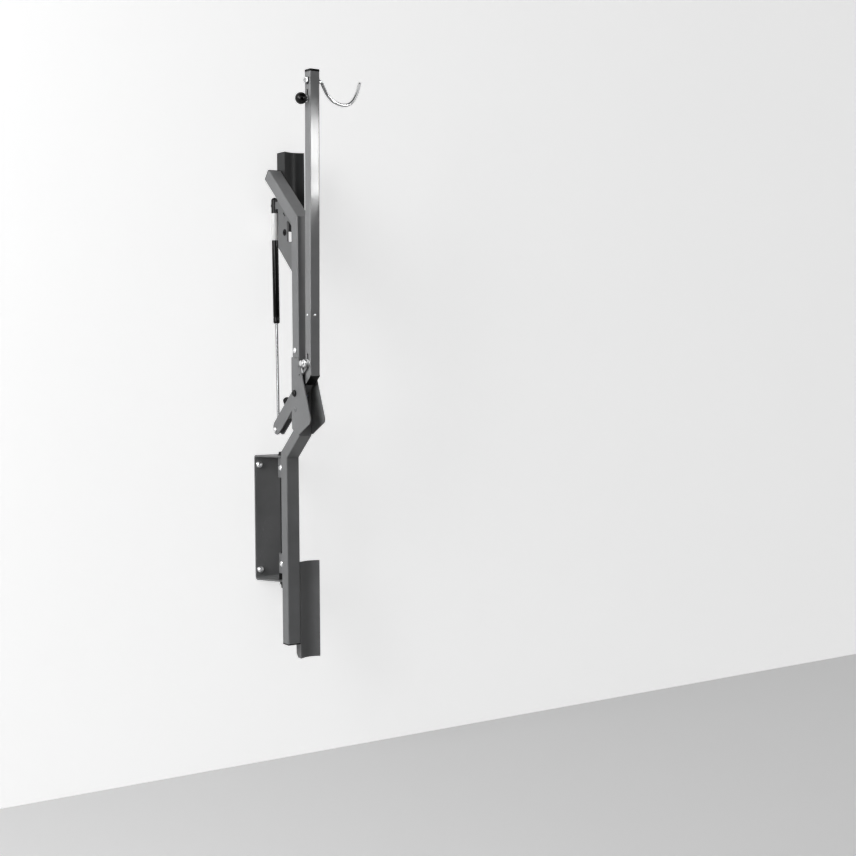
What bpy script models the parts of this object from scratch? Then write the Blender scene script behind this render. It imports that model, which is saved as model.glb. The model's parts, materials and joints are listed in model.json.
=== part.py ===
"""Wall bike hoist: swivelling mast, folding arm with a wheel hook, and a gas spring.

World axes: +X to the right, +Y into the wall, +Z up. The wall is the plane y = 0 and the
origin is the middle of the wall plate's back. Lengths are in metres.
"""
import math
import bmesh
import bpy
from mathutils import Vector

# Where the mast stands
WALL_GAP = 0.100
FOOT_DROP = 0.349
GAP = 0.0003

# Wall bracket
PLATE_HALF_WIDTH = 0.052
PLATE_HALF_HEIGHT = 0.179
PLATE_THICK = 0.005
BEND_INNER = 0.005
NOSE_RADIUS = 0.020
SWIVEL_Y = -0.070
FLANGE_HOLE = 0.0083
SCREW_SIDE = 0.0135
SCREW_INSET = 0.028
SCREW_X = PLATE_HALF_WIDTH - SCREW_SIDE
SCREW_Z = PLATE_HALF_HEIGHT - SCREW_INSET
SLOT_WIDTH = 0.009
SLOT_LENGTH = 0.017

# Swivel
PIN_RADIUS = 0.006
BUSH_BORE = 0.0063
BUSH_OUTER = 0.0080
LUG_HALF_WIDTH = 0.0110
LUG_HEIGHT = 0.056
LUG_UPPER_GAP = 0.0008
LUG_LOWER_GAP = 0.0190
LUG_REACH = PLATE_HALF_HEIGHT - PLATE_THICK - LUG_HEIGHT / 2.0
LUG_UPPER_Z = LUG_REACH - LUG_UPPER_GAP
LUG_LOWER_Z = LUG_LOWER_GAP - LUG_REACH
LUG_BOLT_Y = 0.0135
PIN_TAIL = 0.0195

# Mast tube
TUBE_WIDTH = 0.040
TUBE_DEPTH = 0.035
TUBE_WALL = 0.0025
TUBE_CORNER = 0.0035
MAST_JOG = 0.075
BEND_LOW = 0.5328
JOG_RISE = 0.0647
BEND_MID = BEND_LOW + JOG_RISE
BEND_TOP = 1.1810
SLANT_END_Y = 0.0655
SLANT_RISE = 0.1367
SLANT_END_Z = BEND_TOP + SLANT_RISE

# Arm pivot in the lower tube, and the seam and splice above it
PIVOT_INSET = 0.018
PIVOT_Y = -MAST_JOG - PIVOT_INSET
PIVOT_Z = 0.707
PIVOT_BOLT_RADIUS = 0.005
SPACER_Y = PIVOT_Y - 0.002
SPACER_Z = PIVOT_Z - 0.045
WINDOW_HALF = 0.012
WINDOW_LOW = PIVOT_Z - 0.067
WINDOW_HIGH = PIVOT_Z + 0.075
SEAM_ABOVE = 0.098
SEAM_HEIGHT = PIVOT_Z + SEAM_ABOVE
SPLICE_LOW = SEAM_HEIGHT - 0.018
SPLICE_HIGH = SEAM_HEIGHT + 0.065
SPLICE_BOLT_ABOVE = 0.0195

# Head cheeks: reaches in front of the mast's jog, heights from the pivot and the seam
CHEEK_THICK = 0.003
CHEEK_TOP_REACH = 0.041
CHEEK_FRONT_REACH = 0.1077
CHEEK_FRONT_DROP = 0.0757
CHEEK_FRONT_ROUND = 0.013
CHEEK_FOOT_DROP = 0.114
CHEEK_BACK_DROP = 0.099
CHEEK_TOP_OVER = 0.002
CHEEK_NOSE_UNDER = 0.005

# Latch catch
CATCH_THICK = 0.0027
CATCH_SCREW_RADIUS = 0.0021
PIN_CLEARANCE = 0.0005

# Arm
ARM_LEAN = math.radians(0.94)
ARM_WIDTH = 0.030
ARM_WALL = 0.002
ARM_OFFSET = 0.0587
ARM_TOP = 0.867
HOOK_DROP = 0.026
HOOK_HEIGHT = ARM_TOP - HOOK_DROP
HOOK_RADIUS = 0.005
KNOB_DROP = 0.0494
KNOB_HEIGHT = HOOK_HEIGHT - KNOB_DROP
KNOB_RADIUS = 0.016
KNOB_CENTER = 0.034
KNOB_NECK = 0.0195
LATCH_HEIGHT = 0.084
LATCH_PIN_RADIUS = 0.004
RELEASE_TRAVEL = 0.022

# Lever
LEVER_ANGLE = math.radians(40.0)
LEVER_HALF_WIDTH = 0.010
LEVER_WALL = 0.003
LEVER_LOW = -0.011
LEVER_HIGH = 0.029
LEVER_TAIL = 0.186
FORK_START = 0.100
TAIL_PIN_S = 0.176
TAIL_PIN_N = 0.009
TAIL_PIN_RADIUS = 0.004
BUMPER_S = 0.0835
BUMPER_RADIUS = 0.011
BUMPER_HEIGHT = 0.0195

# Gas spring
SPRING_TOP_Y = 0.058
SPRING_TOP_RISE = 0.051
SPRING_TOP_Z = BEND_TOP + SPRING_TOP_RISE
SPRING_PIN_RADIUS = 0.004
CYLINDER_RADIUS = 0.00925
CYLINDER_BORE = 0.00775
CYLINDER_START = 0.0365
CYLINDER_END = 0.329
ROD_RADIUS = 0.004
ROD_INNER_END = 0.300
SHACKLE_HALF = 0.0082
SHACKLE_STRAP = 0.0046
SHACKLE_DEPTH = 0.005
SHACKLE_EYE = 0.0072
SHACKLE_BOW = 0.0150
SHACKLE_FOOT = 0.0360
JAW_HALF = 0.005

# Spring gusset: reaches from the mast's back face, heights from the upper bend
GUSSET_HALF = 0.0025
GUSSET_FOOT_DROP = 0.165
GUSSET_BACK = 0.0325
GUSSET_BACK_DROP = 0.068
TAB_RADIUS = 0.010

# Tyre guides
LOWER_GUIDE_HEIGHT = 0.275
UPPER_GUIDE_HEIGHT = 0.223
GUIDE_SHEET = 0.0025
GUIDE_REACH = 0.0845
GUIDE_FLANGE = 0.026
UPPER_GUIDE_FLANGE = 0.044
LOWER_GUIDE_BACK = -0.007
LOWER_GUIDE_FOOT = -0.045
LOWER_GUIDE_SCREWS = (0.030, 0.195)
GUIDE_SCREW_INSET = 0.013
UPPER_GUIDE_BACK = SLANT_END_Y + 0.0125
UPPER_GUIDE_FOOT = BEND_TOP - 0.021


for leftover in list(bpy.data.objects):
    bpy.data.objects.remove(leftover, do_unlink=True)


# Materials and joint frames

def make_material(name, color, metallic, roughness):
    material = bpy.data.materials.new(name)
    material.use_nodes = True
    shader = material.node_tree.nodes["Principled BSDF"]
    shader.inputs["Base Color"].default_value = (*color, 1.0)
    shader.inputs["Metallic"].default_value = metallic
    shader.inputs["Roughness"].default_value = roughness
    material.diffuse_color = (*color, 1.0)
    return material


FINISHES = {
    "grey_coat": ((0.30, 0.31, 0.32), 0.0, 0.42),
    "dark_coat": ((0.13, 0.135, 0.14), 0.0, 0.45),
    "zinc": ((0.72, 0.73, 0.74), 1.0, 0.28),
    "chrome": ((0.80, 0.80, 0.81), 1.0, 0.12),
    "black_steel": ((0.03, 0.03, 0.032), 0.6, 0.38),
    "black_plastic": ((0.02, 0.02, 0.022), 0.0, 0.35),
    "rubber": ((0.025, 0.025, 0.027), 0.0, 0.75),
    "nylon": ((0.82, 0.81, 0.77), 0.0, 0.5),
    "white_sleeve": ((0.86, 0.86, 0.85), 0.0, 0.4),
}
frames = {}


def joint_frame(name, location, parent=None):
    empty = bpy.data.objects.new(name, None)
    empty.empty_display_size = 0.03
    bpy.context.scene.collection.objects.link(empty)
    base = Vector((0.0, 0.0, 0.0))
    if parent:
        empty.parent = frames[parent][0]
        base = frames[parent][1]
    empty.location = Vector(location) - base
    frames[name] = (empty, Vector(location))


def finish_object(name, bm, finish, frame=None, smooth=False):
    bmesh.ops.recalc_face_normals(bm, faces=bm.faces)
    mesh = bpy.data.meshes.new(name)
    bm.to_mesh(mesh)
    bm.free()
    color, metallic, roughness = FINISHES[finish]
    mesh.materials.append(make_material(name + "_" + finish, color, metallic, roughness))
    item = bpy.data.objects.new(name, mesh)
    bpy.context.scene.collection.objects.link(item)
    if frame:
        empty, base = frames[frame]
        for vertex in mesh.vertices:
            vertex.co -= base
        item.parent = empty
    if smooth:
        shade_round(item)
    return item


def shade_round(item):
    item.data.shade_smooth()
    item.data.set_sharp_from_angle(angle=math.radians(35.0))


def combine(item, tool, operation):
    """Apply one exact Boolean and drop the tool."""
    modifier = item.modifiers.new(operation, "BOOLEAN")
    modifier.operation = operation
    modifier.solver = "EXACT"
    modifier.object = tool
    bpy.context.view_layer.update()
    graph = bpy.context.evaluated_depsgraph_get()
    result = bpy.data.meshes.new_from_object(item.evaluated_get(graph))
    item.modifiers.clear()
    old = item.data
    item.data = result
    result.name = item.name
    bpy.data.meshes.remove(old)
    bpy.data.objects.remove(tool, do_unlink=True)


# Points and outlines

def mast(y, z):
    """A point given from the back of the mast's foot, in world y and z."""
    return Vector((y - WALL_GAP, z - FOOT_DROP))


PIVOT = mast(PIVOT_Y, PIVOT_Z)
SPRING_TOP = mast(SPRING_TOP_Y, SPRING_TOP_Z)
ARM_UP = Vector((-math.sin(ARM_LEAN), math.cos(ARM_LEAN)))
ARM_OUT = Vector((-math.cos(ARM_LEAN), -math.sin(ARM_LEAN)))
LEVER_ALONG = Vector((math.cos(LEVER_ANGLE), -math.sin(LEVER_ANGLE)))
LEVER_NORMAL = Vector((math.sin(LEVER_ANGLE), math.cos(LEVER_ANGLE)))


def on_arm(out, up):
    return PIVOT + out * ARM_OUT + up * ARM_UP


def on_lever(along, normal):
    return PIVOT + along * LEVER_ALONG + normal * LEVER_NORMAL


TAIL_PIN = on_lever(TAIL_PIN_S, TAIL_PIN_N)
SPRING_DOWN = (TAIL_PIN - SPRING_TOP).normalized()
SPRING_SIDE = Vector((-SPRING_DOWN.y, SPRING_DOWN.x))
SPRING_LENGTH = (TAIL_PIN - SPRING_TOP).length


def on_spring(down, side=0.0):
    return SPRING_TOP + down * SPRING_DOWN + side * SPRING_SIDE


def arc(center, radius, start, end, steps=8):
    """Points on a circle, angles in degrees."""
    points = []
    for index in range(steps + 1):
        angle = math.radians(start + (end - start) * index / steps)
        points.append(Vector((center[0] + radius * math.cos(angle), center[1] + radius * math.sin(angle))))
    return points


def rounded(corners, radii, steps=6):
    """A closed outline with each corner rounded by its own radius."""
    outline = []
    count = len(corners)
    for index in range(count):
        corner = Vector(corners[index])
        before = (Vector(corners[index - 1]) - corner).normalized()
        after = (Vector(corners[(index + 1) % count]) - corner).normalized()
        radius = radii[index]
        if radius <= 0.0:
            outline.append(corner)
            continue
        half = before.angle(after) / 2.0
        reach = radius / math.tan(half)
        center = corner + (before + after).normalized() * radius / math.sin(half)
        first = corner + before * reach - center
        last = corner + after * reach - center
        turn = math.atan2(first.x * last.y - first.y * last.x, first.dot(last))
        base = math.atan2(first.y, first.x)
        for step in range(steps + 1):
            angle = base + turn * step / steps
            outline.append(center + Vector((math.cos(angle), math.sin(angle))) * radius)
    return outline


def slot_outline(center, direction, length, width, steps=8):
    """A slot with round ends; length is taken over both ends."""
    along = Vector(direction).normalized()
    base = math.degrees(math.atan2(along.y, along.x))
    reach = along * (length - width) / 2.0
    far = arc(Vector(center) + reach, width / 2.0, base - 90.0, base + 90.0, steps)
    near = arc(Vector(center) - reach, width / 2.0, base + 90.0, base + 270.0, steps)
    return far + near


# Solids

def loft(rings, closed=False):
    """Join rings of equal count; an open loft gets flat caps."""
    bm = bmesh.new()
    made = [[bm.verts.new(point) for point in ring] for ring in rings]
    count = len(made[0])
    pairs = list(zip(made, made[1:]))
    if closed:
        pairs.append((made[-1], made[0]))
    for first, second in pairs:
        for index in range(count):
            other = (index + 1) % count
            bm.faces.new((first[index], first[other], second[other], second[index]))
    if not closed:
        bm.faces.new(list(reversed(made[0])))
        bm.faces.new(made[-1])
    return bm


def side_prism(outline, low, high):
    """Extrude an outline in y, z along X."""
    return loft([[(low, p[0], p[1]) for p in outline], [(high, p[0], p[1]) for p in outline]])


def plan_prism(outline, low, high):
    """Extrude an outline in x, y along Z."""
    return loft([[(p[0], p[1], low) for p in outline], [(p[0], p[1], high) for p in outline]])


def front_prism(outline, low, high):
    """Extrude an outline in x, z along Y."""
    return loft([[(p[0], low, p[1]) for p in outline], [(p[0], high, p[1]) for p in outline]])


def ring_points(origin, axis, kind, radius, distance, steps):
    """A circle, or a hexagon given by its half width across flats, about an axis."""
    axis = Vector(axis).normalized()
    helper = Vector((0.0, 0.0, 1.0)) if abs(axis.z) < 0.9 else Vector((1.0, 0.0, 0.0))
    side = axis.cross(helper).normalized()
    up = side.cross(axis)
    points = []
    for index in range(steps):
        angle = 2.0 * math.pi * index / steps
        reach = radius
        if kind == "hex":
            folded = (angle + math.pi / 6.0) % (math.pi / 3.0) - math.pi / 6.0
            reach = radius / math.cos(folded)
        direction = side * math.cos(angle) + up * math.sin(angle)
        points.append(Vector(origin) + axis * distance + direction * reach)
    return points


def turned(origin, axis, sections, closed=False, steps=18):
    """Sections are (kind, radius, distance along the axis)."""
    rings = [ring_points(origin, axis, kind, radius, distance, steps) for kind, radius, distance in sections]
    return loft(rings, closed)


def round_profile(pairs):
    return [("circle", radius, distance) for radius, distance in pairs]


def cutter(bm):
    return finish_object("cutter", bm, "zinc")


def drill(item, origin, axis, radius, start, end):
    """Cut a round hole along an axis in world space."""
    tool = cutter(turned(origin, axis, round_profile([(radius, start), (radius, end)])))
    combine(item, tool, "DIFFERENCE")


def carve(item, bm):
    """Cut away a solid given in world space."""
    combine(item, cutter(bm), "DIFFERENCE")


def section_ring(half_x, half_t, corner, steps=3):
    corners = [(half_x, half_t), (-half_x, half_t), (-half_x, -half_t), (half_x, -half_t)]
    return rounded(corners, [corner] * 4, steps)


def mitres(path, first_shear=0.0, last_shear=0.0):
    """Depth vectors at each point of a path in y, z; shears tilt the end cuts."""
    normals = []
    for first, second in zip(path, path[1:]):
        along = (second - first).normalized()
        normals.append((Vector((along.y, -along.x)), along))
    depths = [normals[0][0] + normals[0][1] * first_shear]
    for (before, _), (after, _) in zip(normals, normals[1:]):
        depths.append((before + after) / (1.0 + before.dot(after)))
    depths.append(normals[-1][0] + normals[-1][1] * last_shear)
    return depths


def square_tube(path, width, depth, wall, corner, first_shear=0.0, last_shear=0.0):
    """A hollow tube along a path in y, z with mitred bends and open ends."""
    path = [Vector(point) for point in path]
    depths = mitres(path, first_shear, last_shear)
    outer = section_ring(width / 2.0, depth / 2.0, corner)
    inner = section_ring(width / 2.0 - wall, depth / 2.0 - wall, max(corner - wall, 0.0008))
    rings = []
    for ring, order in ((outer, range(len(path))), (inner, reversed(range(len(path))))):
        for index in order:
            points = []
            for across, deep in ring:
                spot = path[index] + depths[index] * deep
                points.append((across, spot.x, spot.y))
            rings.append(points)
    return loft(rings, closed=True)


def plug(path_point, along, width, depth, corner, flange, length, wall):
    """An end cap: a flange over the tube's end and a shorter plug inside it."""
    point = Vector(path_point)
    along = Vector(along).normalized()
    normal = Vector((along.y, -along.x))
    full = section_ring(width / 2.0, depth / 2.0, corner)
    slim = section_ring(width / 2.0 - wall - GAP, depth / 2.0 - wall - GAP, max(corner - wall, 0.001))
    soft = section_ring(width / 2.0 - 0.0008, depth / 2.0 - 0.0008, corner)
    rings = []
    for ring, distance in ((soft, flange), (full, flange - 0.0008), (full, GAP), (slim, GAP), (slim, -length)):
        points = []
        for across, deep in ring:
            spot = point + along * distance + normal * deep
            points.append((across, spot.x, spot.y))
        rings.append(points)
    return loft(rings)


def thick_line(points, thickness):
    """Outline of a sheet section that follows a line, with mitred bends."""
    path = [Vector(point) for point in points]
    depths = mitres(path)
    left = [point + depth * thickness / 2.0 for point, depth in zip(path, depths)]
    right = [point - depth * thickness / 2.0 for point, depth in zip(path, depths)]
    return left + list(reversed(right))


def swept_round(points, radius, steps=12):
    """A round bar along a line of points, held in one plane."""
    path = [Vector(point) for point in points]
    rings = []
    for index, point in enumerate(path):
        before = path[max(index - 1, 0)]
        after = path[min(index + 1, len(path) - 1)]
        along = (after - before).normalized()
        side = Vector((0.0, 1.0, 0.0))
        up = along.cross(side).normalized()
        ring = []
        for step in range(steps):
            angle = 2.0 * math.pi * step / steps
            ring.append(point + (side * math.cos(angle) + up * math.sin(angle)) * radius)
        rings.append(ring)
    return rings


def smooth_line(points, steps=4):
    """Catmull-Rom points through a line."""
    knots = [Vector(point) for point in points]
    knots = [knots[0] * 2.0 - knots[1]] + knots + [knots[-1] * 2.0 - knots[-2]]
    result = []
    for a, b, c, d in zip(knots, knots[1:], knots[2:], knots[3:]):
        for step in range(steps):
            t = step / steps
            result.append(0.5 * (2.0 * b + (c - a) * t + (2.0 * a - 5.0 * b + 4.0 * c - d) * t * t
                                 + (3.0 * b - a - 3.0 * c + d) * t ** 3))
    result.append(knots[-2])
    return result


# Joint frames

joint_frame("swivel_axis", (0.0, SWIVEL_Y, 0.0))
joint_frame("arm_axis", (0.0, PIVOT.x, PIVOT.y), "swivel_axis")
latch_spot = on_arm(ARM_OFFSET, LATCH_HEIGHT)
joint_frame("release_axis", (0.0, latch_spot.x, latch_spot.y), "arm_axis")
joint_frame("spring_axis", (0.0, SPRING_TOP.x, SPRING_TOP.y), "swivel_axis")
joint_frame("rod_axis", (0.0, TAIL_PIN.x, TAIL_PIN.y), "spring_axis")


# Wall bracket with its folded flanges

outer_bend = BEND_INNER + PLATE_THICK
nose = SWIVEL_Y - NOSE_RADIUS
fold = rounded(
    [(nose - 0.01, PLATE_HALF_HEIGHT), (0.0, PLATE_HALF_HEIGHT),
     (0.0, -PLATE_HALF_HEIGHT), (nose - 0.01, -PLATE_HALF_HEIGHT),
     (nose - 0.01, -PLATE_HALF_HEIGHT + PLATE_THICK), (-PLATE_THICK, -PLATE_HALF_HEIGHT + PLATE_THICK),
     (-PLATE_THICK, PLATE_HALF_HEIGHT - PLATE_THICK), (nose - 0.01, PLATE_HALF_HEIGHT - PLATE_THICK)],
    [0.0, outer_bend, outer_bend, 0.0, 0.0, BEND_INNER, BEND_INNER, 0.0], 5)
bracket = finish_object("wall_bracket", side_prism(fold, -PLATE_HALF_WIDTH, PLATE_HALF_WIDTH), "dark_coat")

shoulder = -0.013
reach = math.hypot(PLATE_HALF_WIDTH, SWIVEL_Y - shoulder)
lean = math.degrees(math.atan2(shoulder - SWIVEL_Y, PLATE_HALF_WIDTH))
touch = lean - math.degrees(math.acos(NOSE_RADIUS / reach))
taper = [(PLATE_HALF_WIDTH + 0.002, 0.01), (-PLATE_HALF_WIDTH - 0.002, 0.01),
         (-PLATE_HALF_WIDTH - 0.002, shoulder), (-PLATE_HALF_WIDTH, shoulder)]
taper += arc((0.0, SWIVEL_Y), NOSE_RADIUS, -180.0 - touch, touch, 20)
taper += [(PLATE_HALF_WIDTH, shoulder), (PLATE_HALF_WIDTH + 0.002, shoulder)]
combine(bracket, cutter(plan_prism(taper, -PLATE_HALF_HEIGHT - 0.01, PLATE_HALF_HEIGHT + 0.01)), "INTERSECT")
drill(bracket, (0.0, SWIVEL_Y, 0.0), (0.0, 0.0, 1.0), FLANGE_HOLE, -PLATE_HALF_HEIGHT - 0.01, PLATE_HALF_HEIGHT + 0.01)
for side in (-1, 1):
    for level in (-1, 1):
        hole = slot_outline((side * SCREW_X, level * SCREW_Z), (0.0, 1.0), SLOT_LENGTH, SLOT_WIDTH)
        carve(bracket, front_prism(hole, -0.02, 0.01))
shade_round(bracket)


def wall_screw(name, x, z):
    """Flange-headed screw, cut off inside the plate so that nothing stands behind it."""
    face = PLATE_THICK + GAP
    sections = round_profile([(0.0036, 0.0006), (0.0036, face), (0.0100, face), (0.0100, face + 0.0012),
                              (0.0086, face + 0.0020)])
    sections += [("hex", 0.0065, face + 0.0021), ("hex", 0.0065, face + 0.0066), ("hex", 0.0058, face + 0.0074)]
    finish_object(name, turned((x, 0.0, z), (0.0, -1.0, 0.0), sections), "zinc", None, True)


wall_screw("wall_screw_upper_left", -SCREW_X, SCREW_Z)
wall_screw("wall_screw_upper_right", SCREW_X, SCREW_Z)
wall_screw("wall_screw_lower_left", -SCREW_X, -SCREW_Z)
wall_screw("wall_screw_lower_right", SCREW_X, -SCREW_Z)

# Swivel bushes, pin, nut and lugs

flange_top = PLATE_HALF_HEIGHT
flange_under = PLATE_HALF_HEIGHT - PLATE_THICK
upper_bush = [(BUSH_BORE, flange_under + GAP), (BUSH_BORE, flange_top + 0.0018), (0.0115, flange_top + 0.0018),
              (0.0115, flange_top + GAP), (BUSH_OUTER, flange_top + GAP), (BUSH_OUTER, flange_under + GAP)]
finish_object("swivel_bush_upper", turned((0.0, SWIVEL_Y, 0.0), (0.0, 0.0, 1.0), round_profile(upper_bush), True),
              "black_plastic", None, True)
lug_foot = LUG_LOWER_Z - LUG_HEIGHT / 2.0
lower_bush = [(BUSH_BORE, -flange_top), (BUSH_BORE, lug_foot - 2.0 * GAP), (0.0115, lug_foot - 2.0 * GAP),
              (0.0115, -flange_under + GAP), (BUSH_OUTER, -flange_under + GAP), (BUSH_OUTER, -flange_top)]
finish_object("swivel_bush_lower", turned((0.0, SWIVEL_Y, 0.0), (0.0, 0.0, 1.0), round_profile(lower_bush), True),
              "black_plastic", None, True)
head_seat = flange_top + 0.0018 + GAP
pin_foot = -flange_top - PIN_TAIL
pin = round_profile([(0.0050, pin_foot), (PIN_RADIUS, pin_foot + 0.0010), (PIN_RADIUS, head_seat),
                     (0.0105, head_seat), (0.0105, head_seat + 0.0015)])
pin += [("hex", 0.0090, head_seat + 0.0016), ("hex", 0.0090, head_seat + 0.0075), ("hex", 0.0080, head_seat + 0.0085)]
finish_object("swivel_pin", turned((0.0, SWIVEL_Y, 0.0), (0.0, 0.0, 1.0), pin), "black_steel", "swivel_axis", True)
nut_top = -flange_top - GAP
nut = [("hex", 0.0090, nut_top - 0.010), ("hex", 0.0090, nut_top - 0.0012), ("circle", 0.0094, nut_top),
       ("circle", PIN_RADIUS + GAP, nut_top), ("circle", PIN_RADIUS + GAP, nut_top - 0.010)]
finish_object("swivel_nut", turned((0.0, SWIVEL_Y, 0.0), (0.0, 0.0, 1.0), nut, True), "black_steel", "swivel_axis",
              True)

for name, middle in (("swivel_lug_upper", LUG_UPPER_Z), ("swivel_lug_lower", LUG_LOWER_Z)):
    back = -WALL_GAP + GAP
    outline = arc((0.0, SWIVEL_Y), LUG_HALF_WIDTH, 0.0, 180.0, 16)
    outline += [Vector((-LUG_HALF_WIDTH, back)), Vector((LUG_HALF_WIDTH, back))]
    lug = finish_object(name, plan_prism(outline, middle - LUG_HEIGHT / 2.0, middle + LUG_HEIGHT / 2.0),
                        "grey_coat", "swivel_axis")
    drill(lug, (0.0, SWIVEL_Y, 0.0), (0.0, 0.0, 1.0), PIN_RADIUS + GAP, -0.3, 0.3)
    drill(lug, (0.0, -WALL_GAP + LUG_BOLT_Y, middle), (1.0, 0.0, 0.0), 0.0043, -0.03, 0.03)
    shade_round(lug)
for name, middle in (("lug_bolt_upper", LUG_UPPER_Z), ("lug_bolt_lower", LUG_LOWER_Z)):
    start = -LUG_HALF_WIDTH - GAP
    bolt = round_profile([(0.0060, start - 0.0060), (0.0085, start - 0.0050), (0.0092, start - 0.0030),
                          (0.0092, start), (0.0040, start), (0.0040, LUG_HALF_WIDTH + 0.0003),
                          (0.0070, LUG_HALF_WIDTH + 0.0003)])
    bolt += [("hex", 0.0065, LUG_HALF_WIDTH + 0.0004), ("hex", 0.0065, LUG_HALF_WIDTH + 0.0060),
             ("hex", 0.0058, LUG_HALF_WIDTH + 0.0066)]
    finish_object(name, turned((0.0, -WALL_GAP + LUG_BOLT_Y, middle), (1.0, 0.0, 0.0), bolt), "zinc",
                  "swivel_axis", True)

# Lower mast tube: foot, jog and the slotted stub between the cheeks

center_low = -TUBE_DEPTH / 2.0
center_high = -MAST_JOG - TUBE_DEPTH / 2.0
lower_path = [mast(center_low, 0.0), mast(center_low, BEND_LOW), mast(center_high, BEND_MID),
              mast(center_high, SEAM_HEIGHT - GAP)]
lower_tube = finish_object("lower_mast_tube", square_tube(lower_path, TUBE_WIDTH, TUBE_DEPTH, TUBE_WALL, TUBE_CORNER),
                           "grey_coat", "swivel_axis")
window_low = mast(0.0, WINDOW_LOW).y
window_high = mast(0.0, WINDOW_HIGH).y
window = rounded([(-WINDOW_HALF, window_low), (WINDOW_HALF, window_low),
                  (WINDOW_HALF, window_high), (-WINDOW_HALF, window_high)], [0.003] * 4, 4)
carve(lower_tube, front_prism(window, PIVOT.x - 0.05, PIVOT.x + 0.05))
drill(lower_tube, (0.0, PIVOT.x, PIVOT.y), (1.0, 0.0, 0.0), PIVOT_BOLT_RADIUS + GAP, -0.03, 0.03)
spacer = mast(SPACER_Y, SPACER_Z)
drill(lower_tube, (0.0, spacer.x, spacer.y), (1.0, 0.0, 0.0), 0.0043, -0.03, 0.03)
lower_fix = [mast(LOWER_GUIDE_BACK - GUIDE_SCREW_INSET, level) for level in LOWER_GUIDE_SCREWS]
for spot in lower_fix:
    drill(lower_tube, (0.0, spot.x, spot.y), (1.0, 0.0, 0.0), 0.0033, 0.010, 0.030)
shade_round(lower_tube)

finish_object("mast_foot_cap", plug(mast(center_low, 0.0), (0.0, -1.0), TUBE_WIDTH, TUBE_DEPTH, TUBE_CORNER,
                                    0.0035, 0.014, TUBE_WALL), "black_plastic", "swivel_axis", True)

# Upper mast tube with the slanting head, its splice and end cap

upper_path = [mast(center_high, SEAM_HEIGHT), mast(center_high, BEND_TOP), mast(SLANT_END_Y, SLANT_END_Z)]
upper_tube = finish_object("upper_mast_tube", square_tube(upper_path, TUBE_WIDTH, TUBE_DEPTH, TUBE_WALL, TUBE_CORNER),
                           "grey_coat", "swivel_axis")
splice_path = [mast(center_high, SPLICE_LOW), mast(center_high, SPLICE_HIGH)]
splice = finish_object("mast_splice", square_tube(splice_path, TUBE_WIDTH - 2.0 * (TUBE_WALL + GAP),
                                                  TUBE_DEPTH - 2.0 * (TUBE_WALL + GAP), 0.0025, 0.0012),
                       "dark_coat", "swivel_axis")
cross = mast(center_high, SEAM_HEIGHT + SPLICE_BOLT_ABOVE)
for item in (upper_tube, splice):
    drill(item, (0.0, cross.x, cross.y), (1.0, 0.0, 0.0), 0.0043, -0.03, 0.03)
slant_along = (upper_path[2] - upper_path[1]).normalized()
slant_normal = Vector((slant_along.y, -slant_along.x))
upper_fix = [upper_path[2] - slant_along * 0.010, upper_path[2] - slant_along * 0.024]
for spot in upper_fix:
    drill(upper_tube, (0.0, spot.x, spot.y), (1.0, 0.0, 0.0), 0.0033, 0.010, 0.030)
shade_round(upper_tube)
shade_round(splice)
half = TUBE_WIDTH / 2.0 + GAP
bolt = round_profile([(0.0050, -half - 0.0046), (0.0072, -half - 0.0036), (0.0080, -half - 0.0018),
                      (0.0080, -half), (0.0040, -half), (0.0040, half + 0.0078), (0.0032, half + 0.0084)])
finish_object("splice_bolt", turned((0.0, cross.x, cross.y), (1.0, 0.0, 0.0), bolt), "zinc", "swivel_axis", True)
nut = [("circle", 0.0070, half), ("hex", 0.0065, half + 0.0008), ("hex", 0.0065, half + 0.0060),
       ("circle", 0.0043, half + 0.0060), ("circle", 0.0043, half)]
finish_object("splice_nut", turned((0.0, cross.x, cross.y), (1.0, 0.0, 0.0), nut, True), "zinc",
              "swivel_axis", True)
finish_object("slant_end_cap", plug(upper_path[2], slant_along, TUBE_WIDTH, TUBE_DEPTH, TUBE_CORNER, 0.0025,
                                    0.004, TUBE_WALL), "black_plastic", "swivel_axis", True)

# Head cheeks, their spacer and the arm's pivot bolt

cheek_back = -MAST_JOG - GAP
cheek_corners = [mast(cheek_back, SEAM_HEIGHT + CHEEK_TOP_OVER),
                 mast(-MAST_JOG - CHEEK_TOP_REACH, SEAM_HEIGHT - CHEEK_NOSE_UNDER),
                 mast(-MAST_JOG - CHEEK_FRONT_REACH, PIVOT_Z - CHEEK_FRONT_DROP),
                 mast(-MAST_JOG - TUBE_DEPTH, PIVOT_Z - CHEEK_FOOT_DROP),
                 mast(cheek_back, PIVOT_Z - CHEEK_BACK_DROP)]
cheek_outline = rounded(cheek_corners, [0.003, 0.004, CHEEK_FRONT_ROUND, 0.004, 0.004], 5)
tube_front = -MAST_JOG - TUBE_DEPTH
catch_spots = [mast(tube_front - 0.0055, SEAM_HEIGHT - 0.0250), mast(tube_front - 0.0100, SEAM_HEIGHT - 0.0450)]
for name, side in (("head_cheek_near", -1), ("head_cheek_far", 1)):
    faces = sorted((side * half, side * (half + CHEEK_THICK)))
    cheek = finish_object(name, side_prism(cheek_outline, faces[0], faces[1]), "grey_coat", "swivel_axis")
    drill(cheek, (0.0, PIVOT.x, PIVOT.y), (1.0, 0.0, 0.0), PIVOT_BOLT_RADIUS + GAP, -0.03, 0.03)
    drill(cheek, (0.0, spacer.x, spacer.y), (1.0, 0.0, 0.0), 0.0043, -0.03, 0.03)
    if side < 0:
        for spot in catch_spots:
            drill(cheek, (0.0, spot.x, spot.y), (1.0, 0.0, 0.0), CATCH_SCREW_RADIUS + GAP, -0.03, -0.01)
    shade_round(cheek)
cheek_face = half + CHEEK_THICK
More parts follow.
